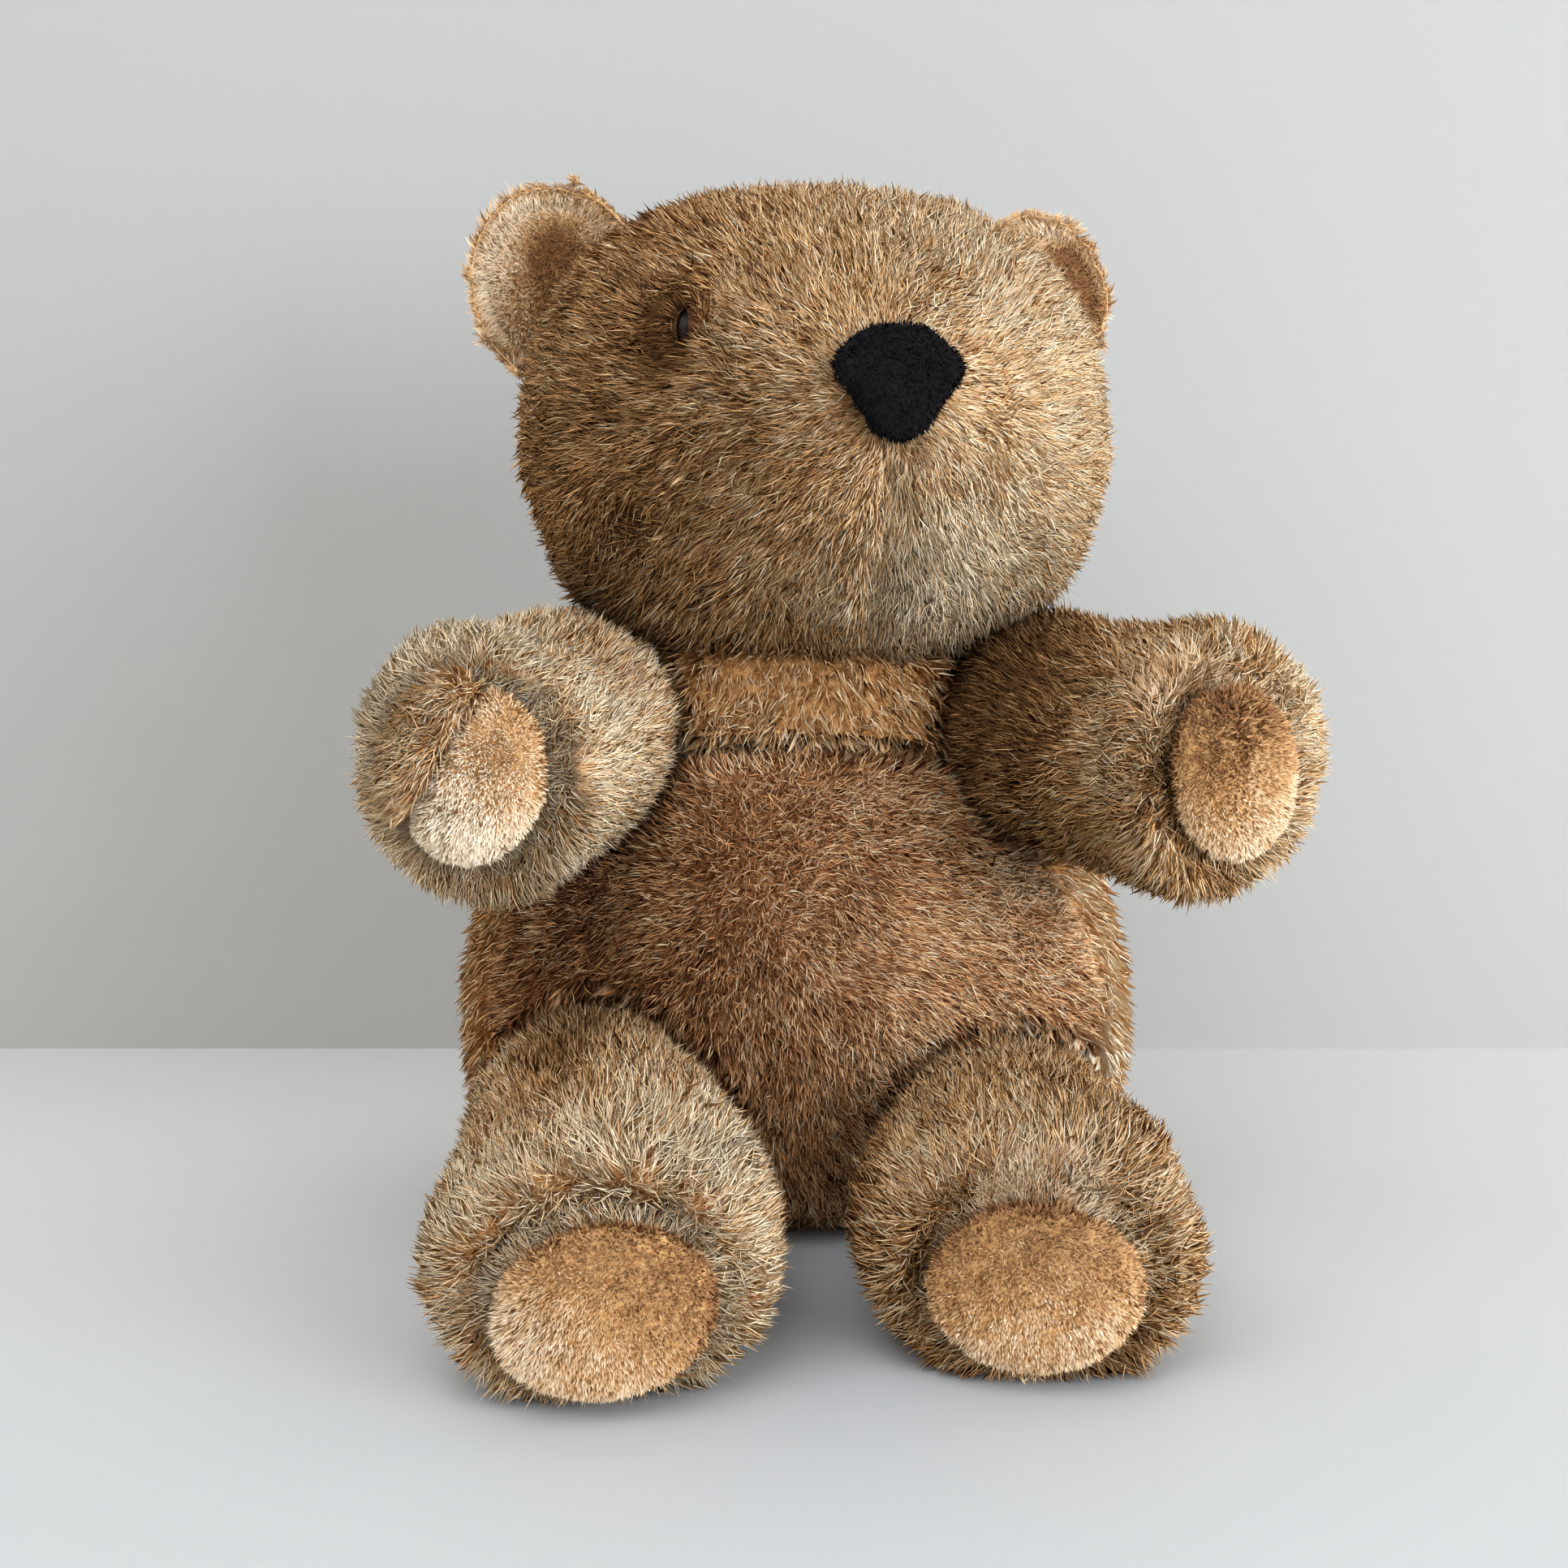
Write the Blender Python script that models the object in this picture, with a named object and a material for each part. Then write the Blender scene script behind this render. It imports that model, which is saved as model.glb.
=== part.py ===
"""Threadbare plush bear, sitting with its legs forward.

Metres, +Z up, the bear faces -Y and +X is on the right of whoever looks at it.
Every piece is one closed stuffed solid whose surface is the mean surface of the pile.
"""
import math

import bmesh
import bpy
from mathutils import Matrix, Vector

# Gap left between two pieces that are sewn or pressed together, and how much
# further a cutter's corners go so that its flat facets keep that gap
SEAM_GAP = 0.0003
FACET_ALLOWANCE = 1.3

# Torso
TORSO_WIDTH = 0.256
TORSO_DEPTH = 0.184
TORSO_HEIGHT = 0.236

# Belly panel, let into the front of the torso
PANEL_WIDTH = 0.224
PANEL_TOP = 0.172
PANEL_BOTTOM = 0.012
PANEL_DEPTH = 0.046
PANEL_BULGE = 0.002

# Head
HEAD_WIDTH = 0.214
HEAD_DEPTH = 0.160
HEAD_HEIGHT = 0.164
HEAD_FORWARD = 0.020
HEAD_OFF_CENTRE = 0.007
HEAD_TURN = math.radians(12)
HEAD_TIP_BACK = math.radians(3)
HEAD_FULLNESS = 2.5
NECK_SINK = 0.030
MUZZLE_REACH = 0.034
MUZZLE_SPREAD = 0.054
MUZZLE_DROP = 0.006

# Nose
NOSE_WIDTH = 0.040
NOSE_HEIGHT = 0.038
NOSE_THICKNESS = 0.016
NOSE_STAND_OUT = 0.006

# The eye that is left
EYE_DIAMETER = 0.013
EYE_ACROSS = 0.061
EYE_ABOVE = 0.016
EYE_SINK = 0.004

# Ears
EAR_WIDTH = 0.070
EAR_HEIGHT = 0.082
EAR_THICKNESS = 0.016
EAR_DISH = 0.015
EAR_LINING_THICKNESS = 0.006
EAR_HEM = 0.006
EAR_IN_FROM_SIDE = 0.014
EAR_IN_FROM_BACK = 0.070
EAR_BELOW_TOP = 0.031
EAR_TURN_OUT = math.radians(14)
EAR_LEAN_OUT = math.radians(24)

# Arms
ARM_LENGTH = 0.150
ARM_WIDTH = 0.091
ARM_SHOULDER_HEIGHT = 0.180
ARM_SHOULDER_INSET = 0.052
RIGHT_ARM_SPREAD = math.radians(10)
LEFT_ARM_SPREAD = math.radians(24)
ARM_DROOP = math.radians(5)
PAW_PAD_WIDTH = 0.047
PAW_PAD_HEIGHT = 0.058
PAW_PAD_TILT = math.radians(18)
PAW_PAD_INWARD = 0.005

# Legs
LEG_LENGTH = 0.190
LEG_WIDTH = 0.106
LEG_HEIGHT = 0.092
LEG_TAPER = 0.16
HIP_INSET = 0.053
RIGHT_THIGH_FULLNESS = 0.97
LEFT_THIGH_FULLNESS = 0.83
RIGHT_HIP_FORWARD = 0.028
LEFT_HIP_FORWARD = 0.010
RIGHT_LEG_TURN_IN = math.radians(7)
LEFT_LEG_TURN_IN = math.radians(3)
HEEL_SINK = 0.003
FOOT_PAD_WIDTH = 0.063
FOOT_PAD_HEIGHT = 0.050
FOOT_PAD_DROP = 0.014
RIGHT_FOOT_PAD_TILT = math.radians(-9)
LEFT_FOOT_PAD_TILT = math.radians(0)
PAD_DOME = 0.012

# Facets round and along the stuffed pieces
SIDES = 28
LIMB_RINGS = 14
TORSO_RINGS = 18
HEAD_RINGS = 20
DISC_RINGS = 4


def clear_scene():
    for item in list(bpy.data.objects):
        bpy.data.objects.remove(item)


def plush(name, colour, roughness=0.95):
    """One cloth: a Principled material in the colour seen from a step away."""
    material = bpy.data.materials.new(name)
    material.use_nodes = True
    shader = material.node_tree.nodes["Principled BSDF"]
    shader.inputs["Base Color"].default_value = (*colour, 1.0)
    shader.inputs["Roughness"].default_value = roughness
    shader.inputs["Metallic"].default_value = 0.0
    return material


def finish_object(name, mesh, material, parent, matrix):
    """Put a bmesh into the scene as one smooth object with its own material."""
    bmesh.ops.recalc_face_normals(mesh, faces=mesh.faces)
    data = bpy.data.meshes.new(name)
    mesh.to_mesh(data)
    mesh.free()
    data.shade_smooth()
    piece = bpy.data.objects.new(name, data)
    if material:
        data.materials.append(material)
    bpy.context.scene.collection.objects.link(piece)
    piece.parent = parent
    piece.matrix_local = matrix
    return piece


def catmull_rom(stations, steps):
    """Smooth rows of numbers through the stations, evenly spaced in station number."""
    last = len(stations) - 1
    rows = []
    for step in range(steps + 1):
        place = step / steps * last
        index = min(int(place), last - 1)
        t = place - index
        row_0 = stations[max(index - 1, 0)]
        row_1 = stations[index]
        row_2 = stations[index + 1]
        row_3 = stations[min(index + 2, last)]
        row = []
        for a, b, c, d in zip(row_0, row_1, row_2, row_3):
            slope = (c - a) * t
            bend = (2 * a - 5 * b + 4 * c - d) * t ** 2
            twist = (3 * b - a - 3 * c + d) * t ** 3
            row.append(0.5 * (2 * b + slope + bend + twist))
        rows.append(row)
    return rows


def loft(rings):
    """A closed skin over rings of points, each end closed by one flat face."""
    mesh = bmesh.new()
    loops = [[mesh.verts.new(point) for point in ring] for ring in rings]
    for lower, upper in zip(loops, loops[1:]):
        for index in range(len(lower)):
            after = (index + 1) % len(lower)
            mesh.faces.new((lower[index], lower[after], upper[after], upper[index]))
    mesh.faces.new(loops[0][::-1])
    mesh.faces.new(loops[-1])
    return mesh


def disc_pillow(half_width, half_height, front, back, outline):
    """A closed cushion over a disc in XZ, from its front surface (-Y) to its back.

    front and back give y for a share of the radius; outline stretches the radius by angle.
    """
    angles = [math.tau * index / SIDES for index in range(SIDES)]

    def point(share, angle, depth):
        reach = share * outline(angle)
        return Vector((reach * half_width * math.cos(angle), depth, reach * half_height * math.sin(angle)))

    mesh = bmesh.new()

    def loop(share, surface):
        return [mesh.verts.new(point(share, angle, surface(share))) for angle in angles]

    shares = [math.sin(0.5 * math.pi * (ring + 1) / DISC_RINGS) for ring in range(DISC_RINGS)]
    has_edge = back(1.0) - front(1.0) > SEAM_GAP
    front_loops = [loop(share, front) for share in shares]
    back_loops = [loop(share, back) for share in shares[:-1]]
    back_loops.append(loop(1.0, back) if has_edge else front_loops[-1])
    for loops, depth in ((front_loops, front(0.0)), (back_loops, back(0.0))):
        middle = mesh.verts.new((0.0, depth, 0.0))
        for index in range(SIDES):
            after = (index + 1) % SIDES
            mesh.faces.new((middle, loops[0][index], loops[0][after]))
            for inner, outer in zip(loops, loops[1:]):
                mesh.faces.new((inner[index], inner[after], outer[after], outer[index]))
    if has_edge:
        front_rim = front_loops[-1]
        back_rim = back_loops[-1]
        for index in range(SIDES):
            after = (index + 1) % SIDES
            mesh.faces.new((front_rim[index], front_rim[after], back_rim[after], back_rim[index]))
    return mesh


def hide_as_guide(piece):
    piece.hide_render = True
    piece.display_type = "WIRE"
    return piece


def make_cutter(piece):
    """A hidden copy of a piece, grown a little past the seam gap, that cuts what it presses into."""
    cutter = piece.copy()
    cutter.name = piece.name + "_cutter"
    bpy.context.scene.collection.objects.link(cutter)
    grow = cutter.modifiers.new("seam_gap", "DISPLACE")
    grow.mid_level = 0.0
    grow.strength = SEAM_GAP * FACET_ALLOWANCE
    return hide_as_guide(cutter)


def combine(piece, other, operation):
    modifier = piece.modifiers.new(operation.lower(), "BOOLEAN")
    modifier.operation = operation
    modifier.solver = "EXACT"
    modifier.object = other


def ellipse(half_width, half_depth, shift, height):
    """Points round a level section of the torso, moved back by shift."""
    return [
        Vector((
            half_width * math.cos(math.tau * index / SIDES),
            shift + half_depth * math.sin(math.tau * index / SIDES),
            height,
        ))
        for index in range(SIDES)
    ]


# Height, half width, half depth and shift to the back, as shares of the torso's sizes:
# a flat seat, a low round belly, sloping shoulders and a narrow top under the head
TORSO_STATIONS = (
    (0.00, 0.385, 0.370, 0.010),
    (0.05, 0.465, 0.462, 0.000),
    (0.18, 0.500, 0.500, -0.020),
    (0.36, 0.498, 0.500, -0.020),
    (0.54, 0.458, 0.462, 0.005),
    (0.72, 0.382, 0.400, 0.030),
    (0.88, 0.285, 0.310, 0.020),
    (1.00, 0.130, 0.150, 0.000),
)


def torso_mesh(bulge):
    rows = catmull_rom(TORSO_STATIONS, TORSO_RINGS)
    rings = []
    for height, width, depth, shift in rows:
        half_width = width * TORSO_WIDTH + bulge
        half_depth = depth * TORSO_DEPTH + bulge
        rings.append(ellipse(half_width, half_depth, shift * TORSO_DEPTH, height * TORSO_HEIGHT))
    return loft(rings)


def panel_prism(grow):
    """The belly panel's rounded oval outline, run along Y from its back to clear of the front."""
    half_width = PANEL_WIDTH / 2 + grow
    half_height = (PANEL_TOP - PANEL_BOTTOM) / 2 + grow
    middle = (PANEL_TOP + PANEL_BOTTOM) / 2
    back = -PANEL_DEPTH + grow
    front = -TORSO_DEPTH

    def outline(depth):
        points = []
        for index in range(SIDES):
            angle = math.tau * index / SIDES
            across = math.copysign(abs(math.cos(angle)) ** 0.85, math.cos(angle))
            above = math.copysign(abs(math.sin(angle)) ** 0.85, math.sin(angle))
            points.append(Vector((half_width * across, depth, middle + half_height * above)))
        return points

    return loft([outline(back), outline(front)])


def make_trunk(root):
    """The torso and the belly panel let into its front."""
    torso = finish_object("torso", torso_mesh(0.0), plush("torso_fur", (0.38, 0.25, 0.14)), root, Matrix())
    pocket = hide_as_guide(finish_object("panel_pocket", panel_prism(SEAM_GAP), None, root, Matrix()))
    combine(torso, pocket, "DIFFERENCE")
    belly_fur = plush("belly_fur", (0.22, 0.12, 0.06))
    belly = finish_object("belly_panel", torso_mesh(PANEL_BULGE), belly_fur, root, Matrix())
    prism = hide_as_guide(finish_object("panel_outline", panel_prism(0.0), None, root, Matrix()))
    combine(belly, prism, "INTERSECT")
    return torso, belly


def head_surface(direction):
    """The point of the head's skin in a direction from the head's middle: a broad ball with a muzzle."""
    x, y, z = direction
    fullness = sum(abs(part) ** HEAD_FULLNESS for part in direction) ** (-1.0 / HEAD_FULLNESS)
    point = Vector((x * HEAD_WIDTH / 2, y * HEAD_DEPTH / 2, z * HEAD_HEIGHT / 2)) * fullness
    point.x *= 1.0 - 0.04 * z
    if y < 0.0:
        off_axis = math.hypot(point.x, point.z + MUZZLE_DROP) / MUZZLE_SPREAD
        point.y -= MUZZLE_REACH * math.exp(-off_axis ** 3)
    return point


def head_skin_at(across, above):
    """The place on the front of the head with a given x and z, found by stepping towards it."""
    x = 0.0
    z = 0.0
    for _ in range(12):
        point = head_surface(Vector((x, -1.0, z)).normalized())
        x += (across - point.x) / HEAD_WIDTH * 2
        z += (above - point.z) / HEAD_HEIGHT * 2
    return head_surface(Vector((x, -1.0, z)).normalized())


def make_head(root):
    """The head, with the frame that the nose, the eye and the ears are placed in."""
    turn = Matrix.Rotation(HEAD_TURN, 4, "Z") @ Matrix.Rotation(-HEAD_TIP_BACK, 4, "X")
    height = TORSO_HEIGHT - NECK_SINK + HEAD_HEIGHT / 2
    place = Matrix.Translation((HEAD_OFF_CENTRE, -HEAD_FORWARD, height)) @ turn
    mesh = bmesh.new()
    bmesh.ops.create_uvsphere(mesh, u_segments=SIDES, v_segments=HEAD_RINGS, radius=1.0)
    bmesh.ops.rotate(mesh, verts=mesh.verts, matrix=Matrix.Rotation(math.pi / 2, 3, "X"))
    for vertex in mesh.verts:
        vertex.co = head_surface(vertex.co.normalized())
    head = finish_object("head", mesh, plush("head_fur", (0.36, 0.25, 0.15)), root, place)
    return head, place


def make_nose(root, head_place):
    """The velvet nose: a rounded shield, wide above and narrow below, pressed onto the muzzle."""
    def shield(angle):
        return 1.0 + 0.09 * math.cos(3 * (angle + math.pi / 2))

    def front(share):
        return -NOSE_STAND_OUT * math.sqrt(max(0.0, 1.0 - share ** 4))

    def back(share):
        return (NOSE_THICKNESS - NOSE_STAND_OUT) * math.sqrt(max(0.0, 1.0 - share ** 4))

    mesh = disc_pillow(NOSE_WIDTH / 2, NOSE_HEIGHT / 2, front, back, shield)
    tip = head_skin_at(0.0, -MUZZLE_DROP)
    velvet = plush("nose_velvet", (0.008, 0.008, 0.010), 0.85)
    return finish_object("nose", mesh, velvet, root, head_place @ Matrix.Translation(tip))


def make_eye(root, head_place):
    """The one eye left, a bead sunk more than half way into the head."""
    mesh = bmesh.new()
    bmesh.ops.create_uvsphere(mesh, u_segments=12, v_segments=8, radius=EYE_DIAMETER / 2)
    skin = head_skin_at(-EYE_ACROSS, EYE_ABOVE)
    place = head_place @ Matrix.Translation(skin - skin.normalized() * EYE_SINK)
    return finish_object("eye", mesh, plush("eye_bead", (0.02, 0.012, 0.008), 0.15), root, place)


def make_ear(root, head_place, side, name):
    """One ear: a dished back of long fur and a lining of short plush laid in the dish."""
    def disc(angle):
        return 1.0

    def dish(share):
        return EAR_DISH * (1.0 - share ** 2)

    def ear_back(share):
        return dish(share) + EAR_THICKNESS * math.sqrt(max(0.0, 1.0 - share ** 4))

    lining_share = 1.0 - 2 * EAR_HEM / EAR_WIDTH

    def lining_back(share):
        return dish(share * lining_share) + SEAM_GAP

    def lining_front(share):
        return lining_back(share) - EAR_LINING_THICKNESS * math.sqrt(max(0.0, 1.0 - share ** 4))

    turn = Matrix.Rotation(side * EAR_TURN_OUT, 4, "Z") @ Matrix.Rotation(side * EAR_LEAN_OUT, 4, "Y")
    across = side * (HEAD_WIDTH / 2 - EAR_IN_FROM_SIDE)
    behind = HEAD_DEPTH / 2 - EAR_IN_FROM_BACK
    above = HEAD_HEIGHT / 2 - EAR_BELOW_TOP
    place = head_place @ Matrix.Translation((across, behind, above)) @ turn
    half_width = EAR_WIDTH / 2
    half_height = EAR_HEIGHT / 2
    shell = disc_pillow(half_width, half_height, dish, ear_back, disc)
    back = finish_object(name + "_back", shell, plush(name + "_fur", (0.36, 0.26, 0.16)), root, place)
    lining_size = (half_width * lining_share, half_height * lining_share)
    lens = disc_pillow(*lining_size, lining_front, lining_back, disc)
    lining = finish_object(name + "_lining", lens, plush(name + "_plush", (0.42, 0.28, 0.13)), root, place)
    combine(lining, make_cutter(back), "DIFFERENCE")
    return back, lining


# Share of the length, then width and height as shares of the limb's, then share of the pad's
# offset: a rounded root inside the torso, a full upper limb, a slight waist and a fuller paw
ARM_STATIONS = (
    (0.00, 0.45, 0.45, 0.0),
    (0.07, 0.72, 0.74, 0.0),
    (0.24, 0.92, 0.95, 0.0),
    (0.48, 0.96, 0.96, 0.0),
    (0.68, 0.95, 0.94, 0.0),
    (0.86, 1.00, 0.98, 0.1),
    (0.96, 0.90, 0.88, 0.5),
)


def leg_stations(fullness):
    """The same for a leg: a slimmer thigh, as high as its fullness, then the full shin and foot."""
    sag = 3.0 * (1.0 - fullness)
    return (
        (0.00, 0.42, 0.55 * fullness, sag),
        (0.07, 0.68, 0.82 * fullness, sag),
        (0.24, 0.84, 0.98 * fullness, sag),
        (0.48, 0.86, 1.00 * fullness, sag),
        (0.68, 0.91, 0.5 + 0.5 * fullness, 0.5 * sag),
        (0.86, 0.97, 1.00, 0.2),
        (0.96, 0.88, 0.88, 0.6),
    )


def limb_mesh(form, pad_size, pad_offset, pad_tilt):
    """A stuffed limb along local -Y from the origin, ending in the flat face that its pad is sewn to.

    form holds its length, width and height, its stations, and how much it narrows towards the top.
    """
    length, width, height, stations, taper = form
    stations = stations + ((1.0, pad_size[0] / width, pad_size[1] / height, 1.0),)
    rings = []
    for along, across, up, shift in catmull_rom(stations, LIMB_RINGS):
        turn = Matrix.Rotation(pad_tilt * shift, 3, "Y")
        middle = Vector((pad_offset[0] * shift, -along * length, pad_offset[1] * shift))
        ring = []
        for index in range(SIDES):
            angle = math.tau * index / SIDES
            narrowing = 1.0 - taper * (1.0 - shift) * math.sin(angle)
            x = 0.5 * width * across * math.cos(angle) * narrowing
            z = 0.5 * height * up * math.sin(angle)
            ring.append(middle + turn @ Vector((x, 0.0, z)))
        rings.append(ring)
    return loft(rings)


def make_limb(root, name, place, form, pad_size, pad_offset, pad_tilt, cloths):
    """A limb and the domed pad on its end, which stands off the flat end by the seam gap."""
    fur, pad_plush = cloths
    pad_width, pad_height = pad_size
    limb = finish_object(name, limb_mesh(form, pad_size, pad_offset, pad_tilt), fur, root, place)

    def round_outline(angle):
        return 1.0

    def front(share):
        return -SEAM_GAP - PAD_DOME * (0.12 + 0.88 * math.sqrt(max(0.0, 1.0 - share ** 3)))

    def back(share):
        return -SEAM_GAP

    pad = disc_pillow(pad_width / 2, pad_height / 2, front, back, round_outline)
    pad_middle = Matrix.Translation((pad_offset[0], -form[0], pad_offset[1]))
    pad_place = place @ pad_middle @ Matrix.Rotation(pad_tilt, 4, "Y")
    pad_object = finish_object(name + "_pad", pad, pad_plush, root, pad_place)
    return limb, pad_object


def make_arms(root):
    limbs = []
    for name, side, spread in (("arm_right", -1, RIGHT_ARM_SPREAD), ("arm_left", 1, LEFT_ARM_SPREAD)):
        across = side * (TORSO_WIDTH / 2 - ARM_SHOULDER_INSET)
        shoulder = Matrix.Translation((across, 0.0, ARM_SHOULDER_HEIGHT))
        aim = Matrix.Rotation(side * spread, 4, "Z") @ Matrix.Rotation(ARM_DROOP, 4, "X")
        form = (ARM_LENGTH, ARM_WIDTH, ARM_WIDTH, ARM_STATIONS, 0.0)
        pad_size = (PAW_PAD_WIDTH, PAW_PAD_HEIGHT)
        pad_offset = (-side * PAW_PAD_INWARD, 0.0)
        cloths = (plush(name + "_fur", (0.34, 0.23, 0.14)), plush(name + "_pad_plush", (0.50, 0.34, 0.18)))
        tilt = -side * PAW_PAD_TILT
        limbs.append(make_limb(root, name, shoulder @ aim, form, pad_size, pad_offset, tilt, cloths))
    return limbs


def make_legs(root):
    limbs = []
    right_leg = (RIGHT_HIP_FORWARD, RIGHT_LEG_TURN_IN, RIGHT_THIGH_FULLNESS, RIGHT_FOOT_PAD_TILT)
    left_leg = (LEFT_HIP_FORWARD, LEFT_LEG_TURN_IN, LEFT_THIGH_FULLNESS, LEFT_FOOT_PAD_TILT)
    for name, side, stance in (("leg_right", -1, right_leg), ("leg_left", 1, left_leg)):
        forward, turn_in, fullness, tilt = stance
        across = side * (TORSO_WIDTH / 2 - HIP_INSET)
        hip = Matrix.Translation((across, -forward, LEG_HEIGHT / 2 - HEEL_SINK))
        aim = Matrix.Rotation(-side * turn_in, 4, "Z")
        form = (LEG_LENGTH, LEG_WIDTH, LEG_HEIGHT, leg_stations(fullness), LEG_TAPER)
        pad_size = (FOOT_PAD_WIDTH, FOOT_PAD_HEIGHT)
        cloths = (plush(name + "_fur", (0.36, 0.26, 0.16)), plush(name + "_pad_plush", (0.46, 0.32, 0.18)))
        limbs.append(make_limb(root, name, hip @ aim, form, pad_size, (0.0, -FOOT_PAD_DROP), tilt, cloths))
    return limbs


def make_floor_block(root):
    """What lies under the bear and flattens its heels, as a guide only."""
    mesh = bmesh.new()
    bmesh.ops.create_cube(mesh, size=1.0)
    place = Matrix.Translation((0.0, 0.0, -0.5))
    return hide_as_guide(finish_object("floor_block", mesh, None, root, place))


def centre_on_origin(root, pieces):
    """Move the whole bear so that the middle of its box's foot is the origin."""
    bpy.context.view_layer.update()
    graph = bpy.context.evaluated_depsgraph_get()
    points = []
    for piece in pieces:
        solid = piece.evaluated_get(graph)
        points.extend(solid.matrix_world @ vertex.co for vertex in solid.data.vertices)
    lows = [min(point[axis] for point in points) for axis in range(3)]
    highs = [max(point[axis] for point in points) for axis in range(3)]
    root.location = (-(lows[0] + highs[0]) / 2, -(lows[1] + highs[1]) / 2, -lows[2])


def main():
    clear_scene()
    root = bpy.data.objects.new("bear", None)
    bpy.context.scene.collection.objects.link(root)
    torso, belly = make_trunk(root)
    head, head_place = make_head(root)
    nose = make_nose(root, head_place)
    eye = make_eye(root, head_place)
    ears = make_ear(root, head_place, -1, "ear_right") + make_ear(root, head_place, 1, "ear_left")
    arms = make_arms(root)
    legs = make_legs(root)
    floor = make_floor_block(root)
    head_cutter = make_cutter(head)
    combine(head, make_cutter(eye), "DIFFERENCE")
    combine(nose, head_cutter, "DIFFERENCE")
    for piece in ears:
        combine(piece, head_cutter, "DIFFERENCE")
    for arm, _ in arms:
        combine(arm, head_cutter, "DIFFERENCE")
    for piece in (torso, belly):
        for limb, _ in arms + legs:
            combine(piece, make_cutter(limb), "DIFFERENCE")
        combine(piece, head_cutter, "DIFFERENCE")
    for leg, _ in legs:
        combine(leg, floor, "DIFFERENCE")
    limb_pieces = [piece for pair in arms + legs for piece in pair]
    centre_on_origin(root, [torso, belly, head, nose, eye, *ears, *limb_pieces])


main()
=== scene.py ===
"""Looks of the threadbare bear: stuffed skins, pile, velvet, eye, stage, light and camera.

Metres, +Z up, the bear faces -Y. Left and right are the bear's own.
"""
import itertools
import math
from dataclasses import dataclass
from typing import Callable

import bmesh
import bpy
import numpy as np
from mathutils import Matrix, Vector
from mathutils.bvhtree import BVHTree

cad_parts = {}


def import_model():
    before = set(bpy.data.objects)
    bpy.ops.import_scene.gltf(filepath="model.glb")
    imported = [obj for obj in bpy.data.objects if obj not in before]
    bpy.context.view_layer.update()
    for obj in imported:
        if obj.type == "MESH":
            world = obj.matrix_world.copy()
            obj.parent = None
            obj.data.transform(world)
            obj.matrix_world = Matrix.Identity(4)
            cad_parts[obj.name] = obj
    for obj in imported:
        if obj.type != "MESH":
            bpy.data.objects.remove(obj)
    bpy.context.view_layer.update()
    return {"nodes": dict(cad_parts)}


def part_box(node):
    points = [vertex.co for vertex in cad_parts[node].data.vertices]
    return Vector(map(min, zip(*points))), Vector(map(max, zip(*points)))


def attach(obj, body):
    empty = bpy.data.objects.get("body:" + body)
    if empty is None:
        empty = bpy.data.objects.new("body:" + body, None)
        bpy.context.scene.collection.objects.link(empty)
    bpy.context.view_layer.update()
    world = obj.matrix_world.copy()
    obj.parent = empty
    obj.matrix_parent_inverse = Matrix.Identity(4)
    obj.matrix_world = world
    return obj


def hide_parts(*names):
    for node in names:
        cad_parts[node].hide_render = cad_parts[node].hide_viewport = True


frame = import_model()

# Camera, at the height and distance that the photograph was taken from
CAMERA_PLACE = (-0.0186, -0.589, 0.200)
CAMERA_PITCH = math.radians(-4.0)
CAMERA_LENS_MM = 39.04
SENSOR_WIDTH_MM = 36.0

# Stage
WALL_BEHIND = 0.2885
WALL_HEIGHT = 1.6
STAGE_HALF_WIDTH = 1.6
FLOOR_FRONT = -1.4
FLOOR_BACK = 1.6
WALL_COLOUR = (0.300, 0.322, 0.343)
FLOOR_COLOUR = (0.415, 0.455, 0.500)
BOARD_WHITE = (0.88, 0.83, 0.76)

# Lamps: place, target, size, power in watts and colour
LAMPS = {
    "window": ((1.35, -1.25, 0.24), (0.0, 0.0, 0.18), 1.4, 60.0, (1.0, 1.0, 0.99)),
    "overhead": ((-0.45, -0.9, 1.2), (0.0, 0.0, 0.15), 1.3, 16.0, (1.0, 0.97, 0.93)),
}
ROOM_COLOUR = (1.0, 0.945, 0.87, 1.0)
ROOM_STRENGTH = 0.84

# Voxels of the stuffed skins, and how far the skins lie under the solids' surfaces
BODY_VOXEL = 0.0042
SMALL_VOXEL = 0.0022
FUR_INSET = 0.0058
EAR_INSET = 0.0020
PAD_INSET = 0.0014
BELLY_INSET = 0.0050
LINING_INSET = 0.0010
NOSE_VOXEL = 0.0018
NOSE_INSET = 0.0008

# A root this deep in a neighbour's solid is pressed flat, and carries no pile
PROBE = 0.0045
DEEP_IN_BODY = 0.0050
DEEP_IN_TRIM = 0.0003
TRIM = ("pad", "lining", "nose", "eye")

# Pile that meets the floor lies on it
FLOOR_CLEARANCE = 0.0006

HEAD_TURN = math.radians(12)

# Share of the light that a hair lets through, and how far up it the tip's colour is reached
HAIR_TRANSLUCENCY = 0.10
TIP_COLOUR_HEIGHT = 0.70

# Shine of the cloth and of the scuffed bead
CLOTH_SHINE = 0.15
BEAD_SHINE = 0.12
BEAD_ROUGHNESS = 0.38

# Sizes of the swirls, cowlicks, laid patches and specks in a pile
SWIRL = 0.022
COWLICK = 0.009
LAID_PATCH = 0.010
SPECK = 0.0085

# Blades: widths as shares of the coat's, a short hair's share of the length, half a width on the map
GUARD_WIDTHS = (0.35, 0.65)
FUZZ_WIDTHS = (0.45, 0.75)
FUZZ_REACH = 0.82
MAP_STEP = 0.006

# Weights of x, y and z where how far back a place lies counts little
IN_VIEW = np.array((1.0, 0.2, 1.0))


def unit(vectors):
    lengths = np.linalg.norm(vectors, axis=-1, keepdims=True)
    return vectors / np.maximum(lengths, 1e-9)


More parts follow.
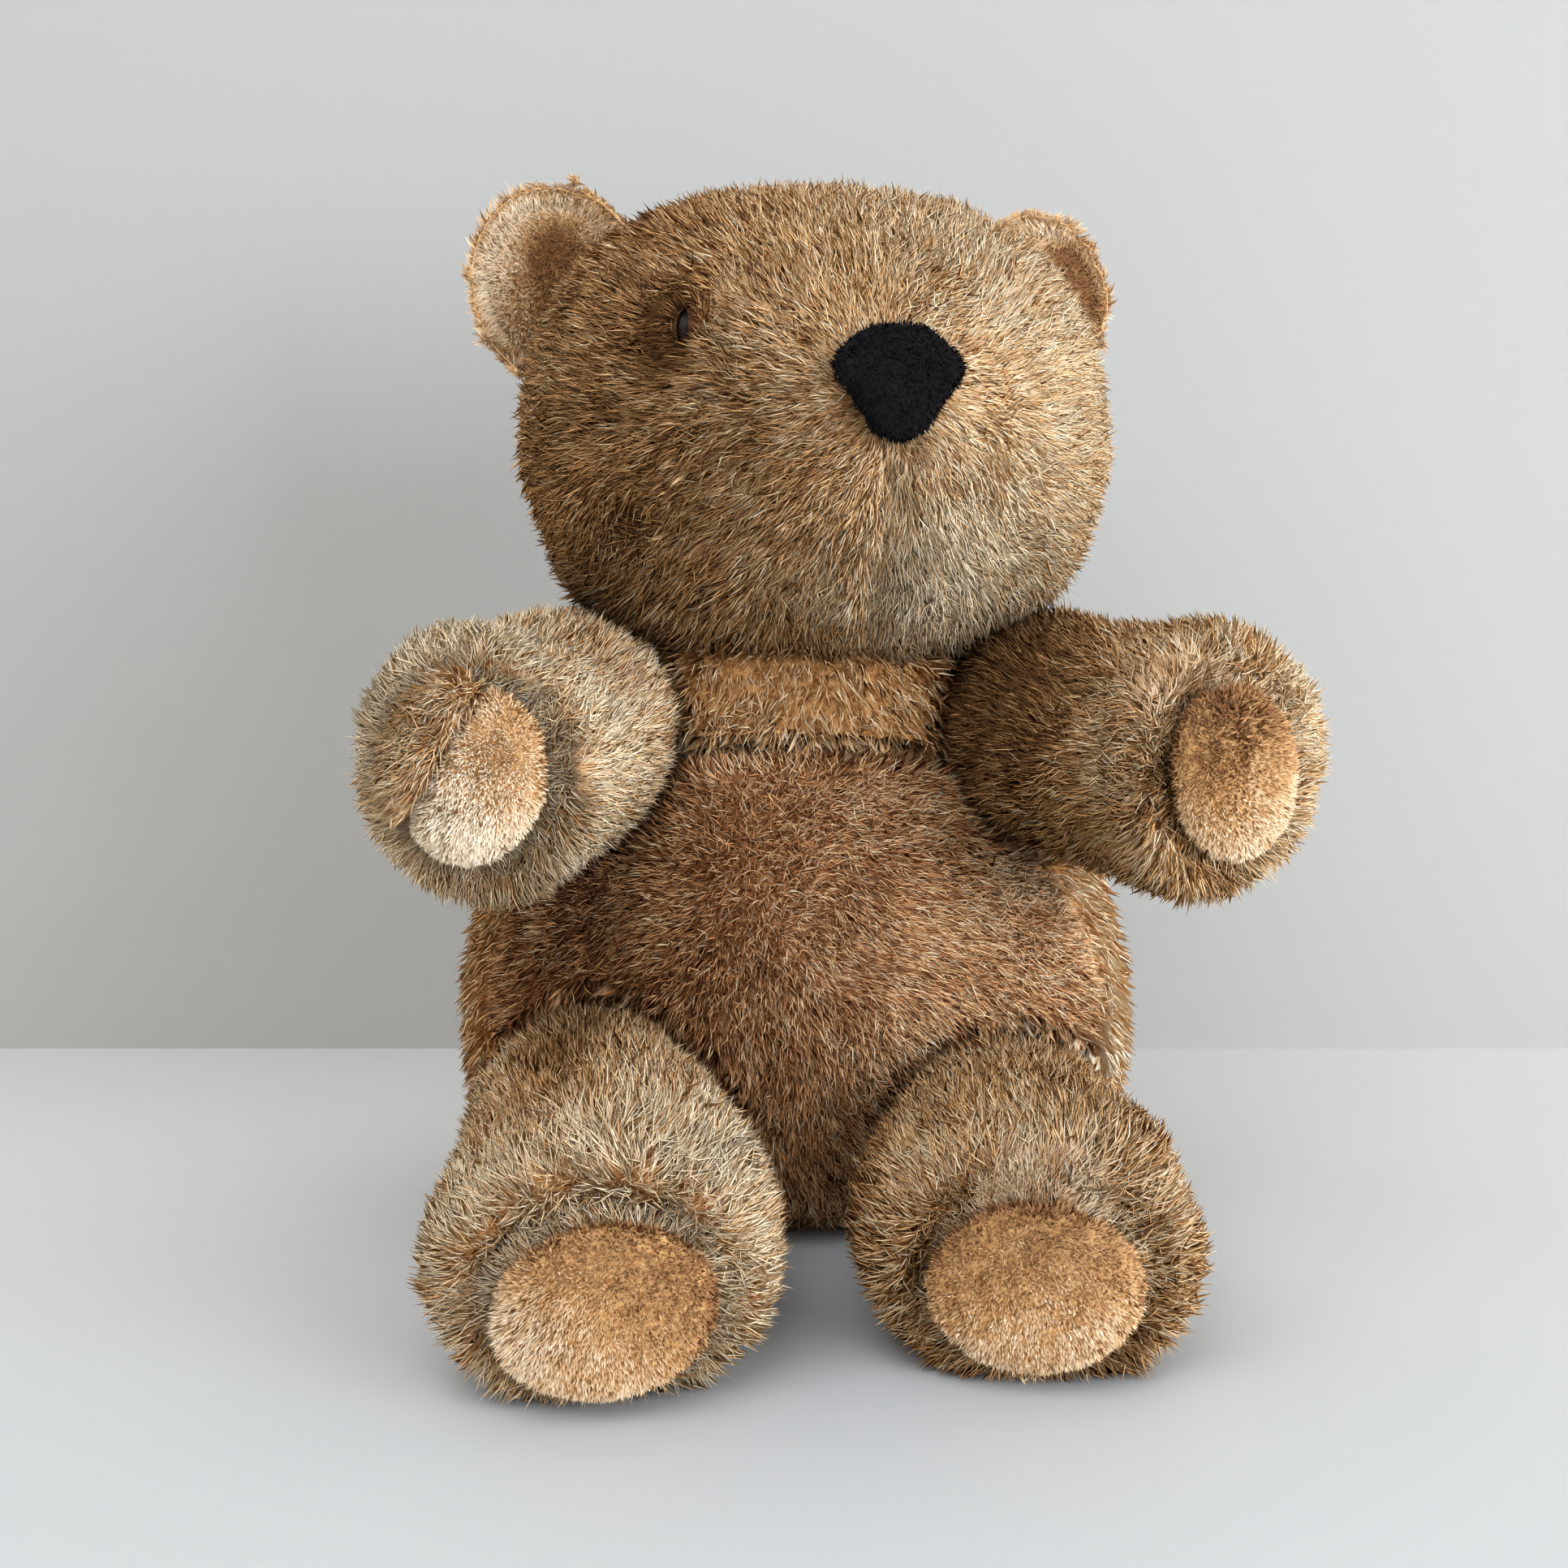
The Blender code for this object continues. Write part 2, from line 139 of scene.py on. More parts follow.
def along_surface(directions, normals):
    """The share of each direction that runs along the surface."""
    return directions - normals * np.sum(directions * normals, axis=-1, keepdims=True)


def mixed_bits(cells, seed):
    """A number from 0 to 1 for each integer cell, the same on every run."""
    bits = cells[:, 0] * 73856093 ^ cells[:, 1] * 19349663 ^ cells[:, 2] * 83492791 ^ seed * 6542989
    bits = (bits ^ (bits >> 13)) * 1274126177 & 0x7FFFFFFF
    bits = (bits ^ (bits >> 11)) * 668265263 & 0x7FFFFFFF
    return (bits & 0xFFFFFF) / float(0x1000000)


def soft_noise(points, size, seed):
    """Smooth noise from -1 to 1 whose lumps are about size across."""
    places = points / size + 41.7
    cells = np.floor(places).astype(np.int64)
    share = places - cells
    share = share * share * (3.0 - 2.0 * share)
    total = np.zeros(len(points))
    for corner in itertools.product((0, 1), repeat=3):
        step = np.array(corner)
        weight = np.prod(np.where(step, share, 1.0 - share), axis=1)
        total += weight * mixed_bits(cells + step, seed)
    return total * 2.0 - 1.0


def noise_vectors(points, size, seed):
    return np.stack([soft_noise(points, size, seed + axis) for axis in range(3)], axis=1)


def towards_clump(points, size, seed, rng):
    """From each point to the middle of its own tuft, or of the next one near a border."""
    strayed = points + noise_vectors(points, size * 2.3, seed + 20) * size * 0.8
    strayed += rng.normal(size=points.shape) * size * 0.16
    cells = np.floor(strayed / size + 17.3).astype(np.int64)
    jitter = np.stack([mixed_bits(cells, seed + axis) for axis in range(3)], axis=1)
    return (cells - 17.3 + 0.1 + 0.8 * jitter) * size - strayed


def near(points, place, radius):
    """1 at a place, falling to 0 by about twice the radius."""
    off = np.linalg.norm(points - np.asarray(place), axis=1) / radius
    return np.exp(-off ** 2)


def near_path(points, path, radius):
    """1 on a line of points, falling to 0 by about twice the radius."""
    closest = np.full(len(points), 1e9)
    for start, end in zip(path, path[1:]):
        start = np.asarray(start)
        run = np.asarray(end) - start
        share = np.clip((points - start) @ run / (run @ run), 0.0, 1.0)
        off = np.linalg.norm(points - start - share[:, None] * run, axis=1)
        closest = np.minimum(closest, off)
    return np.exp(-(closest / radius) ** 2)


def seen_near(points, place, radius):
    return near(points * IN_VIEW, np.array(place) * IN_VIEW, radius)


def seen_near_path(points, path, radius):
    return near_path(points * IN_VIEW, [np.array(place) * IN_VIEW for place in path], radius)


def box_middle(node):
    low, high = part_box(node)
    return np.array((low + high) / 2)


# Places on the bear, from the solids
NOSE = box_middle("nose")
EYE = box_middle("eye")
HEAD = box_middle("head")
TORSO = box_middle("torso")
BELLY_LOW, BELLY_HIGH = (np.array(corner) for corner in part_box("belly_panel"))
FORWARD = np.array((math.sin(HEAD_TURN), -math.cos(HEAD_TURN), 0.0))
SIDEWAYS = np.array((math.cos(HEAD_TURN), math.sin(HEAD_TURN), 0.0))
UP = np.array((0.0, 0.0, 1.0))
PAD = {limb: box_middle(limb + "_pad") for limb in ("arm_left", "arm_right", "leg_left", "leg_right")}


def cad_surfaces():
    """A search tree and a box for each solid."""
    trees = {}
    for name, node in frame["nodes"].items():
        corners = [vertex.co for vertex in node.data.vertices]
        faces = [face.vertices for face in node.data.polygons]
        tree = BVHTree.FromPolygons(corners, faces)
        low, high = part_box(name)
        trees[name] = (tree, low, high)
    return trees


CAD = cad_surfaces()


def covered_by_neighbour(name, places):
    """Which places lie inside a solid other than the named one."""
    hidden = np.zeros(len(places))
    for other, (tree, low, high) in CAD.items():
        if other == name:
            continue
        depth = DEEP_IN_TRIM if other.endswith(TRIM) else DEEP_IN_BODY
        inside = np.all((places > np.array(low)) & (places < np.array(high)), axis=1)
        for index in np.nonzero(inside)[0]:
            spot = Vector(places[index])
            hit, normal, _, _ = tree.find_nearest(spot)
            if (spot - hit).dot(normal) < -depth:
                hidden[index] = 1.0
    return hidden


def vertex_values(mesh, attribute):
    """A mesh's places or normals, a row for each vertex."""
    values = np.empty(len(mesh.vertices) * 3)
    mesh.vertices.foreach_get(attribute, values)
    return values.reshape(-1, 3)


class Surface:
    """A mesh's triangles as arrays: corners, corner normals, areas and which corners are covered."""

    def __init__(self, name, obj):
        mesh = obj.data
        mesh.calc_loop_triangles()
        points = vertex_values(mesh, "co")
        normals = vertex_values(mesh, "normal")
        triangles = np.empty(len(mesh.loop_triangles) * 3, dtype=np.int32)
        mesh.loop_triangles.foreach_get("vertices", triangles)
        triangles = triangles.reshape(-1, 3)
        covered = covered_by_neighbour(name, points + normals * PROBE)
        self.corners = points[triangles]
        self.normals = normals[triangles]
        sides = np.cross(self.corners[:, 1] - self.corners[:, 0], self.corners[:, 2] - self.corners[:, 0])
        self.areas = np.linalg.norm(sides, axis=1) / 2
        self.open = 1.0 - covered[triangles].mean(axis=1)

    def scatter(self, count, rng, weight):
        """Places and normals spread over the open surface, thicker where the weight is higher."""
        middles = self.corners.mean(axis=1)
        chance = self.areas * self.open * weight(middles, self.normals.mean(axis=1))
        picks = rng.choice(len(chance), size=count, p=chance / chance.sum())
        a = rng.random(count)
        b = rng.random(count)
        folded = a + b > 1.0
        a = np.where(folded, 1.0 - a, a)
        b = np.where(folded, 1.0 - b, b)
        shares = np.stack([1.0 - a - b, a, b], axis=1)[:, :, None]
        places = (self.corners[picks] * shares).sum(axis=1)
        normals = unit((self.normals[picks] * shares).sum(axis=1))
        return places, normals


def make_material(name, roughness):
    material = bpy.data.materials.new(name)
    material.use_nodes = True
    nodes = material.node_tree.nodes
    shader = nodes["Principled BSDF"]
    shader.inputs["Roughness"].default_value = roughness
    shader.inputs["Specular IOR Level"].default_value = CLOTH_SHINE
    return material, nodes, material.node_tree.links, shader


def add_ramp(nodes, stops):
    ramp = nodes.new("ShaderNodeValToRGB")
    elements = ramp.color_ramp.elements
    for (place, colour), element in zip(stops, elements):
        element.position = place
        element.color = (*colour, 1.0)
    for place, colour in stops[2:]:
        element = elements.new(place)
        element.color = (*colour, 1.0)
    return ramp


def pile_material(name, root_stops, tip_stops):
    """Hair dyed by tone across the map and from root to tip up the map."""
    material, nodes, links, shader = make_material(name, 0.75)
    place = nodes.new("ShaderNodeUVMap")
    place.uv_map = "OFBake"
    split = nodes.new("ShaderNodeSeparateXYZ")
    links.new(place.outputs["UV"], split.inputs["Vector"])
    roots = add_ramp(nodes, root_stops)
    tips = add_ramp(nodes, tip_stops)
    links.new(split.outputs["X"], roots.inputs["Fac"])
    links.new(split.outputs["X"], tips.inputs["Fac"])
    rise = nodes.new("ShaderNodeMapRange")
    rise.interpolation_type = "SMOOTHSTEP"
    rise.inputs["From Max"].default_value = TIP_COLOUR_HEIGHT
    links.new(split.outputs["Y"], rise.inputs["Value"])
    mix = nodes.new("ShaderNodeMix")
    mix.data_type = "RGBA"
    links.new(rise.outputs["Result"], mix.inputs["Factor"])
    links.new(roots.outputs["Color"], mix.inputs["A"])
    links.new(tips.outputs["Color"], mix.inputs["B"])
    links.new(mix.outputs["Result"], shader.inputs["Base Color"])
    through = nodes.new("ShaderNodeBsdfTranslucent")
    links.new(mix.outputs["Result"], through.inputs["Color"])
    both = nodes.new("ShaderNodeMixShader")
    both.inputs["Fac"].default_value = HAIR_TRANSLUCENCY
    links.new(shader.outputs["BSDF"], both.inputs[1])
    links.new(through.outputs["BSDF"], both.inputs[2])
    links.new(both.outputs["Shader"], nodes["Material Output"].inputs["Surface"])
    return material


def underfur_material(name, dark, light):
    """The matted ground of the pile, seen only between the hairs."""
    material, nodes, links, shader = make_material(name, 0.95)
    place = nodes.new("ShaderNodeTexCoord")
    noise = nodes.new("ShaderNodeTexNoise")
    noise.inputs["Scale"].default_value = 420.0
    noise.inputs["Detail"].default_value = 4.0
    links.new(place.outputs["Object"], noise.inputs["Vector"])
    ramp = add_ramp(nodes, [(0.35, dark), (0.65, light)])
    links.new(noise.outputs["Fac"], ramp.inputs["Fac"])
    links.new(ramp.outputs["Color"], shader.inputs["Base Color"])
    bump = nodes.new("ShaderNodeBump")
    bump.inputs["Strength"].default_value = 0.6
    bump.inputs["Distance"].default_value = 0.0015
    links.new(noise.outputs["Fac"], bump.inputs["Height"])
    links.new(bump.outputs["Normal"], shader.inputs["Normal"])
    return material


LONG_FUR = pile_material(
    "long_fur",
    [(0.0, (0.060, 0.024, 0.009)), (0.5, (0.42, 0.190, 0.062)), (1.0, (0.86, 0.57, 0.29))],
    [
        (0.0, (0.20, 0.095, 0.036)), (0.35, (0.74, 0.425, 0.180)),
        (0.7, (0.95, 0.73, 0.45)), (1.0, (0.99, 0.90, 0.73)),
    ],
)
BELLY_FUR = pile_material(
    "belly_fur",
    [(0.0, (0.045, 0.015, 0.006)), (0.5, (0.27, 0.098, 0.035)), (1.0, (0.76, 0.45, 0.24))],
    [
        (0.0, (0.22, 0.082, 0.032)), (0.35, (0.74, 0.38, 0.165)),
        (0.7, (0.93, 0.66, 0.38)), (1.0, (0.97, 0.86, 0.67)),
    ],
)
SHORT_PLUSH = pile_material(
    "short_plush",
    [(0.0, (0.10, 0.042, 0.018)), (0.5, (0.44, 0.270, 0.130)), (1.0, (0.78, 0.63, 0.45))],
    [
        (0.0, (0.26, 0.12, 0.050)), (0.35, (0.59, 0.36, 0.17)),
        (0.65, (0.81, 0.68, 0.51)), (1.0, (0.96, 0.91, 0.80)),
    ],
)
VELVET = pile_material(
    "nose_velvet",
    [(0.0, (0.002, 0.002, 0.003)), (1.0, (0.006, 0.006, 0.008))],
    [(0.0, (0.001, 0.001, 0.002)), (1.0, (0.007, 0.007, 0.011))],
)
LONG_GROUND = underfur_material("long_fur_ground", (0.30, 0.13, 0.042), (0.66, 0.38, 0.155))
BELLY_GROUND = underfur_material("belly_fur_ground", (0.14, 0.048, 0.017), (0.42, 0.19, 0.075))
EAR_GROUND = underfur_material("ear_ground", (0.40, 0.23, 0.10), (0.66, 0.46, 0.25))
PLUSH_GROUND = underfur_material("short_plush_ground", (0.32, 0.16, 0.058), (0.54, 0.34, 0.16))
# Near-black ground of the lids: painted shade in and round the eye's slit
LID_SHADE_GROUND = underfur_material("eyelid_shade_ground", (0.030, 0.012, 0.005), (0.120, 0.050, 0.020))
VELVET_GROUND = underfur_material("nose_velvet_ground", (0.002, 0.002, 0.003), (0.006, 0.006, 0.008))


def evaluated_copy(obj, name):
    """The object's mesh with its modifiers applied, as a new object."""
    graph = bpy.context.evaluated_depsgraph_get()
    mesh = bpy.data.meshes.new_from_object(obj.evaluated_get(graph))
    mesh.name = name
    copy = bpy.data.objects.new(name, mesh)
    bpy.context.scene.collection.objects.link(copy)
    return copy


def make_skin(node, voxel, inset, ground, forms=None):
    """A stuffed skin in the place of a solid: its form, softened, drawn in and pressed into folds."""
    draft = frame["nodes"][node].copy()
    draft.data = frame["nodes"][node].data.copy()
    bpy.context.scene.collection.objects.link(draft)
    remesh = draft.modifiers.new("even_faces", "REMESH")
    remesh.mode = "VOXEL"
    remesh.voxel_size = voxel
    smooth = draft.modifiers.new("soften", "SMOOTH")
    smooth.factor = 0.5
    smooth.iterations = 6
    bpy.context.view_layer.update()
    skin = evaluated_copy(draft, node + "_skin")
    bpy.data.objects.remove(draft)
    mesh = skin.data
    points = vertex_values(mesh, "co")
    normals = vertex_values(mesh, "normal")
    depth = np.full(len(points), -inset)
    if forms:
        depth += forms(points)
    points = points + normals * depth[:, None]
    points[:, 2] = np.maximum(points[:, 2], FLOOR_CLEARANCE)
    mesh.vertices.foreach_set("co", points.ravel())
    mesh.update()
    mesh.shade_smooth()
    mesh.materials.clear()
    mesh.materials.append(ground)
    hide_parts(node)
    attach(skin, "root")
    return skin


def everywhere(points, normals):
    return np.ones(len(points))


def even(points):
    return np.ones(len(points))


def never(points):
    return np.zeros(len(points))


@dataclass
class Coat:
    """How one cloth's pile grows."""

    comb: Callable
    guard_hairs: int
    fuzz_hairs: int
    length: float = 0.0106
    width: float = 0.00030
    lean: float = 0.88
    unrest: float = 0.34
    wander: float = 0.55
    tuft: float = 0.0042
    pull: float = 0.12
    frizz: Callable = never
    tone: Callable = even
    tone_spread: float = 0.28
    reach: Callable = even
    weight: Callable = everywhere


def hair_lines(surface, coat, count, rng, seed):
    """Roots, bends and tips of the hairs, with their normals and tones."""
    roots, normals = surface.scatter(count, rng, coat.weight)
    lie = along_surface(coat.comb(roots), normals)
    sway = noise_vectors(roots, SWIRL, seed) * coat.wander
    frizz = coat.frizz(roots)
    flick = rng.normal(size=(count, 3)) * (coat.unrest * (1.0 + 0.6 * frizz))[:, None]
    sway += noise_vectors(roots, COWLICK, seed + 30) * (0.35 + 0.5 * frizz)[:, None]
    lie = unit(along_surface(lie + sway + flick, normals))
    tuft_lean = 0.22 * soft_noise(roots, coat.tuft * 1.4, seed + 5)
    tuft_lean += 0.16 * soft_noise(roots, LAID_PATCH, seed + 6)
    lean = (coat.lean + tuft_lean - 0.08 * frizz + rng.normal(size=count) * 0.16)[:, None]
    length = coat.length * coat.reach(roots) * (0.78 + 0.40 * rng.random(count))
    half = (length * 0.5)[:, None]
    bends = roots + half * (np.cos(lean * 0.62) * normals + np.sin(lean * 0.62) * lie)
    tips = bends + half * (np.cos(lean * 1.28) * normals + np.sin(lean * 1.28) * lie)
    pull = along_surface(towards_clump(roots, coat.tuft, seed + 9, rng), normals) * coat.pull
    bends = bends + pull * 0.45
    tips = tips + pull + rng.normal(size=(count, 3)) * (length * 0.05)[:, None]
    tone = coat.tone(roots) + 0.26 * frizz + coat.tone_spread * rng.normal(size=count)
    tone += 0.10 * soft_noise(roots, SWIRL, seed + 11)
    tone += 0.16 * soft_noise(roots, coat.tuft * 1.2, seed + 12)
    tone += 0.12 * soft_noise(roots, SPECK, seed + 13)
    return roots, bends, tips, normals, np.clip(tone, 0.02, 0.98)


def blade_sides(roots, tips, normals, rng):
    """Which way each flat blade is wide: across the hair, turned about it at random."""
    lines = unit(tips - roots)
    across = unit(np.cross(lines, normals))
    turn = rng.uniform(-1.0, 1.0, size=(len(roots), 1))
    return np.cos(turn) * across + np.sin(turn) * np.cross(lines, across)


def build_pile(name, parent, material, blades):
    """One mesh of flat tapering blades, with its colour map and soft normals."""
    points, faces, maps, shading = (np.concatenate(part) for part in zip(*blades))
    points[:, 2] = np.maximum(points[:, 2], FLOOR_CLEARANCE)
    mesh = bpy.data.meshes.new(name)
    mesh.vertices.add(len(points))
    mesh.vertices.foreach_set("co", points.ravel())
    mesh.loops.add(faces.size)
    mesh.loops.foreach_set("vertex_index", faces.ravel().astype(np.int32))
    mesh.polygons.add(len(faces))
    mesh.polygons.foreach_set("loop_start", np.arange(0, faces.size, 3, dtype=np.int32))
    mesh.update(calc_edges=True)
    layer = mesh.uv_layers.new(name="OFBake")
    layer.uv.foreach_set("vector", maps[faces.ravel()].ravel())
    mesh.shade_smooth()
    mesh.normals_split_custom_set_from_vertices(shading)
    mesh.materials.append(material)
    pile = bpy.data.objects.new(name, mesh)
    bpy.context.scene.collection.objects.link(pile)
    pile.parent = parent


def shading_normals(normals, roots, tips, side):
    """Between the cloth's own normal and the blade's."""
    facing = unit(np.cross(side, tips - roots))
    facing *= np.sign(np.sum(facing * normals, axis=1, keepdims=True))
    return unit(normals + 0.5 * facing)


def guard_blades(surface, coat, rng, seed):
    """Long hairs: a kite of two triangles that bends at its middle."""
    count = coat.guard_hairs
    roots, bends, tips, normals, tone = hair_lines(surface, coat, count, rng, seed)
    side = blade_sides(roots, tips, normals, rng)
    side *= coat.width * rng.uniform(*GUARD_WIDTHS, size=(count, 1))
    points = np.stack([roots, bends + side, tips, bends - side], axis=1).reshape(-1, 3)
    first = np.arange(count)[:, None] * 4
    faces = np.concatenate([first + (0, 1, 2), first + (0, 2, 3)])
    maps = np.zeros((count, 4, 2))
    maps[:, :, 0] = tone[:, None] + np.array((0.0, -MAP_STEP, 0.0, MAP_STEP))
    maps[:, :, 1] = (0.01, 0.5, 0.99, 0.5)
    shading = np.repeat(shading_normals(normals, roots, tips, side), 4, axis=0)
    return points, faces, maps.reshape(-1, 2), shading


def fuzz_blades(surface, coat, rng, seed):
    """Short hairs: one triangle each, wide at the root."""
    count = coat.fuzz_hairs
    roots, _, tips, normals, tone = hair_lines(surface, coat, count, rng, seed)
    tips = roots + (tips - roots) * FUZZ_REACH
    side = blade_sides(roots, tips, normals, rng)
    side *= coat.width * rng.uniform(*FUZZ_WIDTHS, size=(count, 1))
    points = np.stack([roots - side, roots + side, tips], axis=1).reshape(-1, 3)
    faces = np.arange(count * 3).reshape(-1, 3)
    maps = np.zeros((count, 3, 2))
    maps[:, :, 0] = tone[:, None] + np.array((-MAP_STEP, MAP_STEP, 0.0))
    maps[:, :, 1] = (0.02, 0.02, 0.86)
    shading = np.repeat(shading_normals(normals, roots, tips, side), 3, axis=0)
    return points, faces, maps.reshape(-1, 2), shading


def grow_pile(name, surface, parent, material, coat, seed):
    rng = np.random.default_rng(seed)
    guard = guard_blades(surface, coat, rng, seed)
    points, faces, maps, shading = fuzz_blades(surface, coat, rng, seed + 50)
    fuzz = (points, faces + len(guard[0]), maps, shading)
    build_pile(name, parent, material, [guard, fuzz])


# Head: the pile runs outwards from the nose, round the cheeks and over the crown
MOUTH_SEAM = [
    NOSE - UP * 0.018,
    NOSE + (-0.0006, 0.0149, -0.0352),
    NOSE + (-0.0031, 0.0376, -0.0543),
    NOSE + (-0.0054, 0.0634, -0.0723),
    NOSE + (-0.0064, 0.0764, -0.0773),
]
# Under the cheeks and the chin, from side to side
NECK = [
    (-0.086, 0.030, 0.227),
    (-0.072, 0.013, 0.221),
    (-0.030, 0.018, 0.209),
    (0.012, 0.022, 0.207),
    (0.045, 0.022, 0.212),
    (0.075, 0.036, 0.226),
]
# Bald dark spots on the cheek: a place and its reach
WORN_SPOTS = [
    ((-0.0690, -0.0279, 0.3000), 0.0055),
    ((-0.0545, -0.0362, 0.2980), 0.0045),
    ((-0.0657, -0.0235, 0.2479), 0.0060),
]
# Lids: where they face, and how much of the ball they and the slit between them take up
LID_RADIUS = 0.0073
LID_STEPS = 12
LID_FACING = (-0.22, -1.0, -0.05)
LID_HALF_ANGLE = math.radians(78)
SLIT_HALF_ANGLE = math.radians(16)
SLIT_TOP = math.radians(74)
# The strip on the nose's side of the slit that carries no hair, and the gap round the lids
BARE_EDGE = 0.0040
LID_GAP = 0.0005


def head_forms(points):
    mouth = -0.0030 * near_path(points, MOUTH_SEAM[:3], 0.0045)
    chin = -0.0050 * near_path(points, MOUTH_SEAM[2:], 0.0050)
    lids = 0.0050 * near(points, EYE, 0.013)
    jowl = 0.0045 * near_path(points, NECK, 0.020) + 0.0095 * near(points, (0.026, -0.006, 0.224), 0.028)
    lumps = 0.0014 * soft_noise(points, 0.030, 3)
    return mouth + chin + lids + jowl + lumps


def head_comb(points):
    return unit(points - NOSE + FORWARD * 0.010)


def head_reach(points):
    from_nose = np.linalg.norm(points - NOSE, axis=1)
    reach = 0.65 + 0.35 * np.clip((from_nose - 0.022) / 0.030, 0.0, 1.0)
    reach *= 1.0 - 0.35 * near_path(points, MOUTH_SEAM, 0.0040)
    reach *= 1.0 - 0.60 * near(points, EYE + SIDEWAYS * 0.012, 0.009)
    reach *= 1.0 + 0.35 * near_path(points, NECK, 0.016)
    for place, radius in WORN_SPOTS:
        reach *= 1.0 - 0.50 * near(points, place, radius)
    return reach


def head_tone(points):
    tone = 0.50 + 0.04 * near(points, NOSE, 0.050)
    # Painted light and shade: paler on the side that the window lamp lights, darker on the other
    tone += 0.27 * np.clip((points - HEAD) @ SIDEWAYS / 0.07, -1.0, 1.0)
    # Painted light on the upper face, where the overhead lamp falls
    tone += 0.14 * near(points, HEAD + FORWARD * 0.06 + UP * 0.07 + SIDEWAYS * 0.01, 0.050)
    # Painted light on the chin's right side, which faces the low window lamp
    tone += 0.50 * near(points, MOUTH_SEAM[2] + SIDEWAYS * 0.016, 0.034)
    tone -= 0.34 * near_path(points, MOUTH_SEAM, 0.0034)
    # Painted shade left of the eye and down its slit
    tone -= 0.55 * near(points, EYE - SIDEWAYS * 0.008 + UP * 0.003, 0.0090)
    tone -= 0.70 * near_path(points, [EYE + UP * 0.012, EYE - UP * 0.006], 0.0070)
    for place, radius in WORN_SPOTS:
        tone -= 0.62 * near(points, place, radius)
    return tone


def head_back_tone(points):
    """The thick hairs behind catch more light, so they are dyed darker."""
    return head_tone(points) - 0.14


def head_front_share(points):
    """1 on the face, 0 on the back of the head, blended in between."""
    return np.clip(((points - HEAD) @ FORWARD + 0.030) / 0.035, 0.0, 1.0)


def head_front_weight(points, normals):
    front = head_front_share(points)
    clear_of_eye = np.linalg.norm(points - EYE, axis=1) > LID_RADIUS + LID_GAP
    return front * clear_of_eye * (0.35 + 0.65 * np.clip(-normals[:, 1] + 0.25, 0.0, 1.0))


def head_back_weight(points, normals):
    return 1.0 - head_front_share(points)


def make_head():
    skin = make_skin("head", BODY_VOXEL, FUR_INSET, LONG_GROUND, head_forms)
    surface = Surface("head", skin)
    front = Coat(
        head_comb, 62000, 50000, lean=0.95, unrest=0.30, wander=0.45, tone=head_tone, reach=head_reach,
        weight=head_front_weight,
    )
    back = Coat(head_comb, 12000, 18000, width=0.0009, tone=head_back_tone, weight=head_back_weight)
    grow_pile("head_fur_front", surface, skin, LONG_FUR, front, 101)
    grow_pile("head_fur_back", surface, skin, LONG_FUR, back, 102)
    lids = make_lids(skin)
    lid_coat = Coat(head_comb, 1500, 1500, length=0.0078, lean=0.85, tone=head_tone, weight=lid_weight)
    grow_pile("eyelid_fur", Surface("head", lids), lids, LONG_FUR, lid_coat, 103)


def lid_weight(points, normals):
    """None on the edge of the slit that faces the nose, whose hair would lie over the bead."""
    aside = (points - EYE)[:, 0]
    return 1.0 - ((aside > 0.0) & (aside < BARE_EDGE)).astype(float)


def make_lids(skin):
    """Cloth drawn over the eye from both sides, all but an upright slit."""
    outward = unit(np.array(LID_FACING))
    across = unit(np.cross(UP, outward))
    above = np.cross(outward, across)
    mesh = bmesh.new()
    for side in (-1, 1):
        rows = []
        for step in range(LID_STEPS + 1):
            rise = (step / LID_STEPS * 2.0 - 1.0) * LID_HALF_ANGLE
            slit = SLIT_HALF_ANGLE * max(0.0, 1.0 - (rise / SLIT_TOP) ** 4)
            row = []
            for turn_step in range(LID_STEPS // 2 + 1):
                share = turn_step / (LID_STEPS // 2)
                turn = side * (slit + (LID_HALF_ANGLE - slit) * share)
                around = math.cos(turn) * outward + math.sin(turn) * across
                place = EYE + LID_RADIUS * (math.cos(rise) * around + math.sin(rise) * above)
                row.append(mesh.verts.new(place))
            rows.append(row if side > 0 else row[::-1])
        for lower, upper in zip(rows, rows[1:]):
            for index in range(LID_STEPS // 2):
                mesh.faces.new((lower[index], lower[index + 1], upper[index + 1], upper[index]))
    data = bpy.data.meshes.new("eyelids")
    mesh.to_mesh(data)
    mesh.free()
    data.shade_smooth()
    data.materials.append(LID_SHADE_GROUND)
    lids = bpy.data.objects.new("eyelids", data)
    bpy.context.scene.collection.objects.link(lids)
    lids.parent = skin
    return lids


# Torso: the pile runs down the chest, the sides and the back
def torso_forms(points):
    return 0.0015 * soft_noise(points, 0.040, 21) + 0.0060 * near_path(points, NECK, 0.020)


def torso_comb(points):
    outward = points - TORSO
    outward[:, 2] = 0.0
    return unit(outward) * 0.25 - UP


def torso_tone(points):
    aside = np.clip((points[:, 0] - TORSO[0]) / 0.10, -1.0, 1.0)
    low = np.clip((0.16 - points[:, 2]) / 0.05, 0.0, 1.0)
    seen = np.clip((0.065 - points[:, 1]) / 0.050, 0.0, 1.0)
    # Painted light and shade: the lower front is paler on the side the window lamp lights, darker on the
    # other
    return 0.58 + 0.08 * low + (0.06 + 0.42 * aside) * low * seen


def torso_front_weight(points, normals):
    return np.clip((TORSO[1] + 0.010 - points[:, 1]) / 0.025, 0.0, 1.0)


def torso_back_weight(points, normals):
    return 1.0 - torso_front_weight(points, normals)


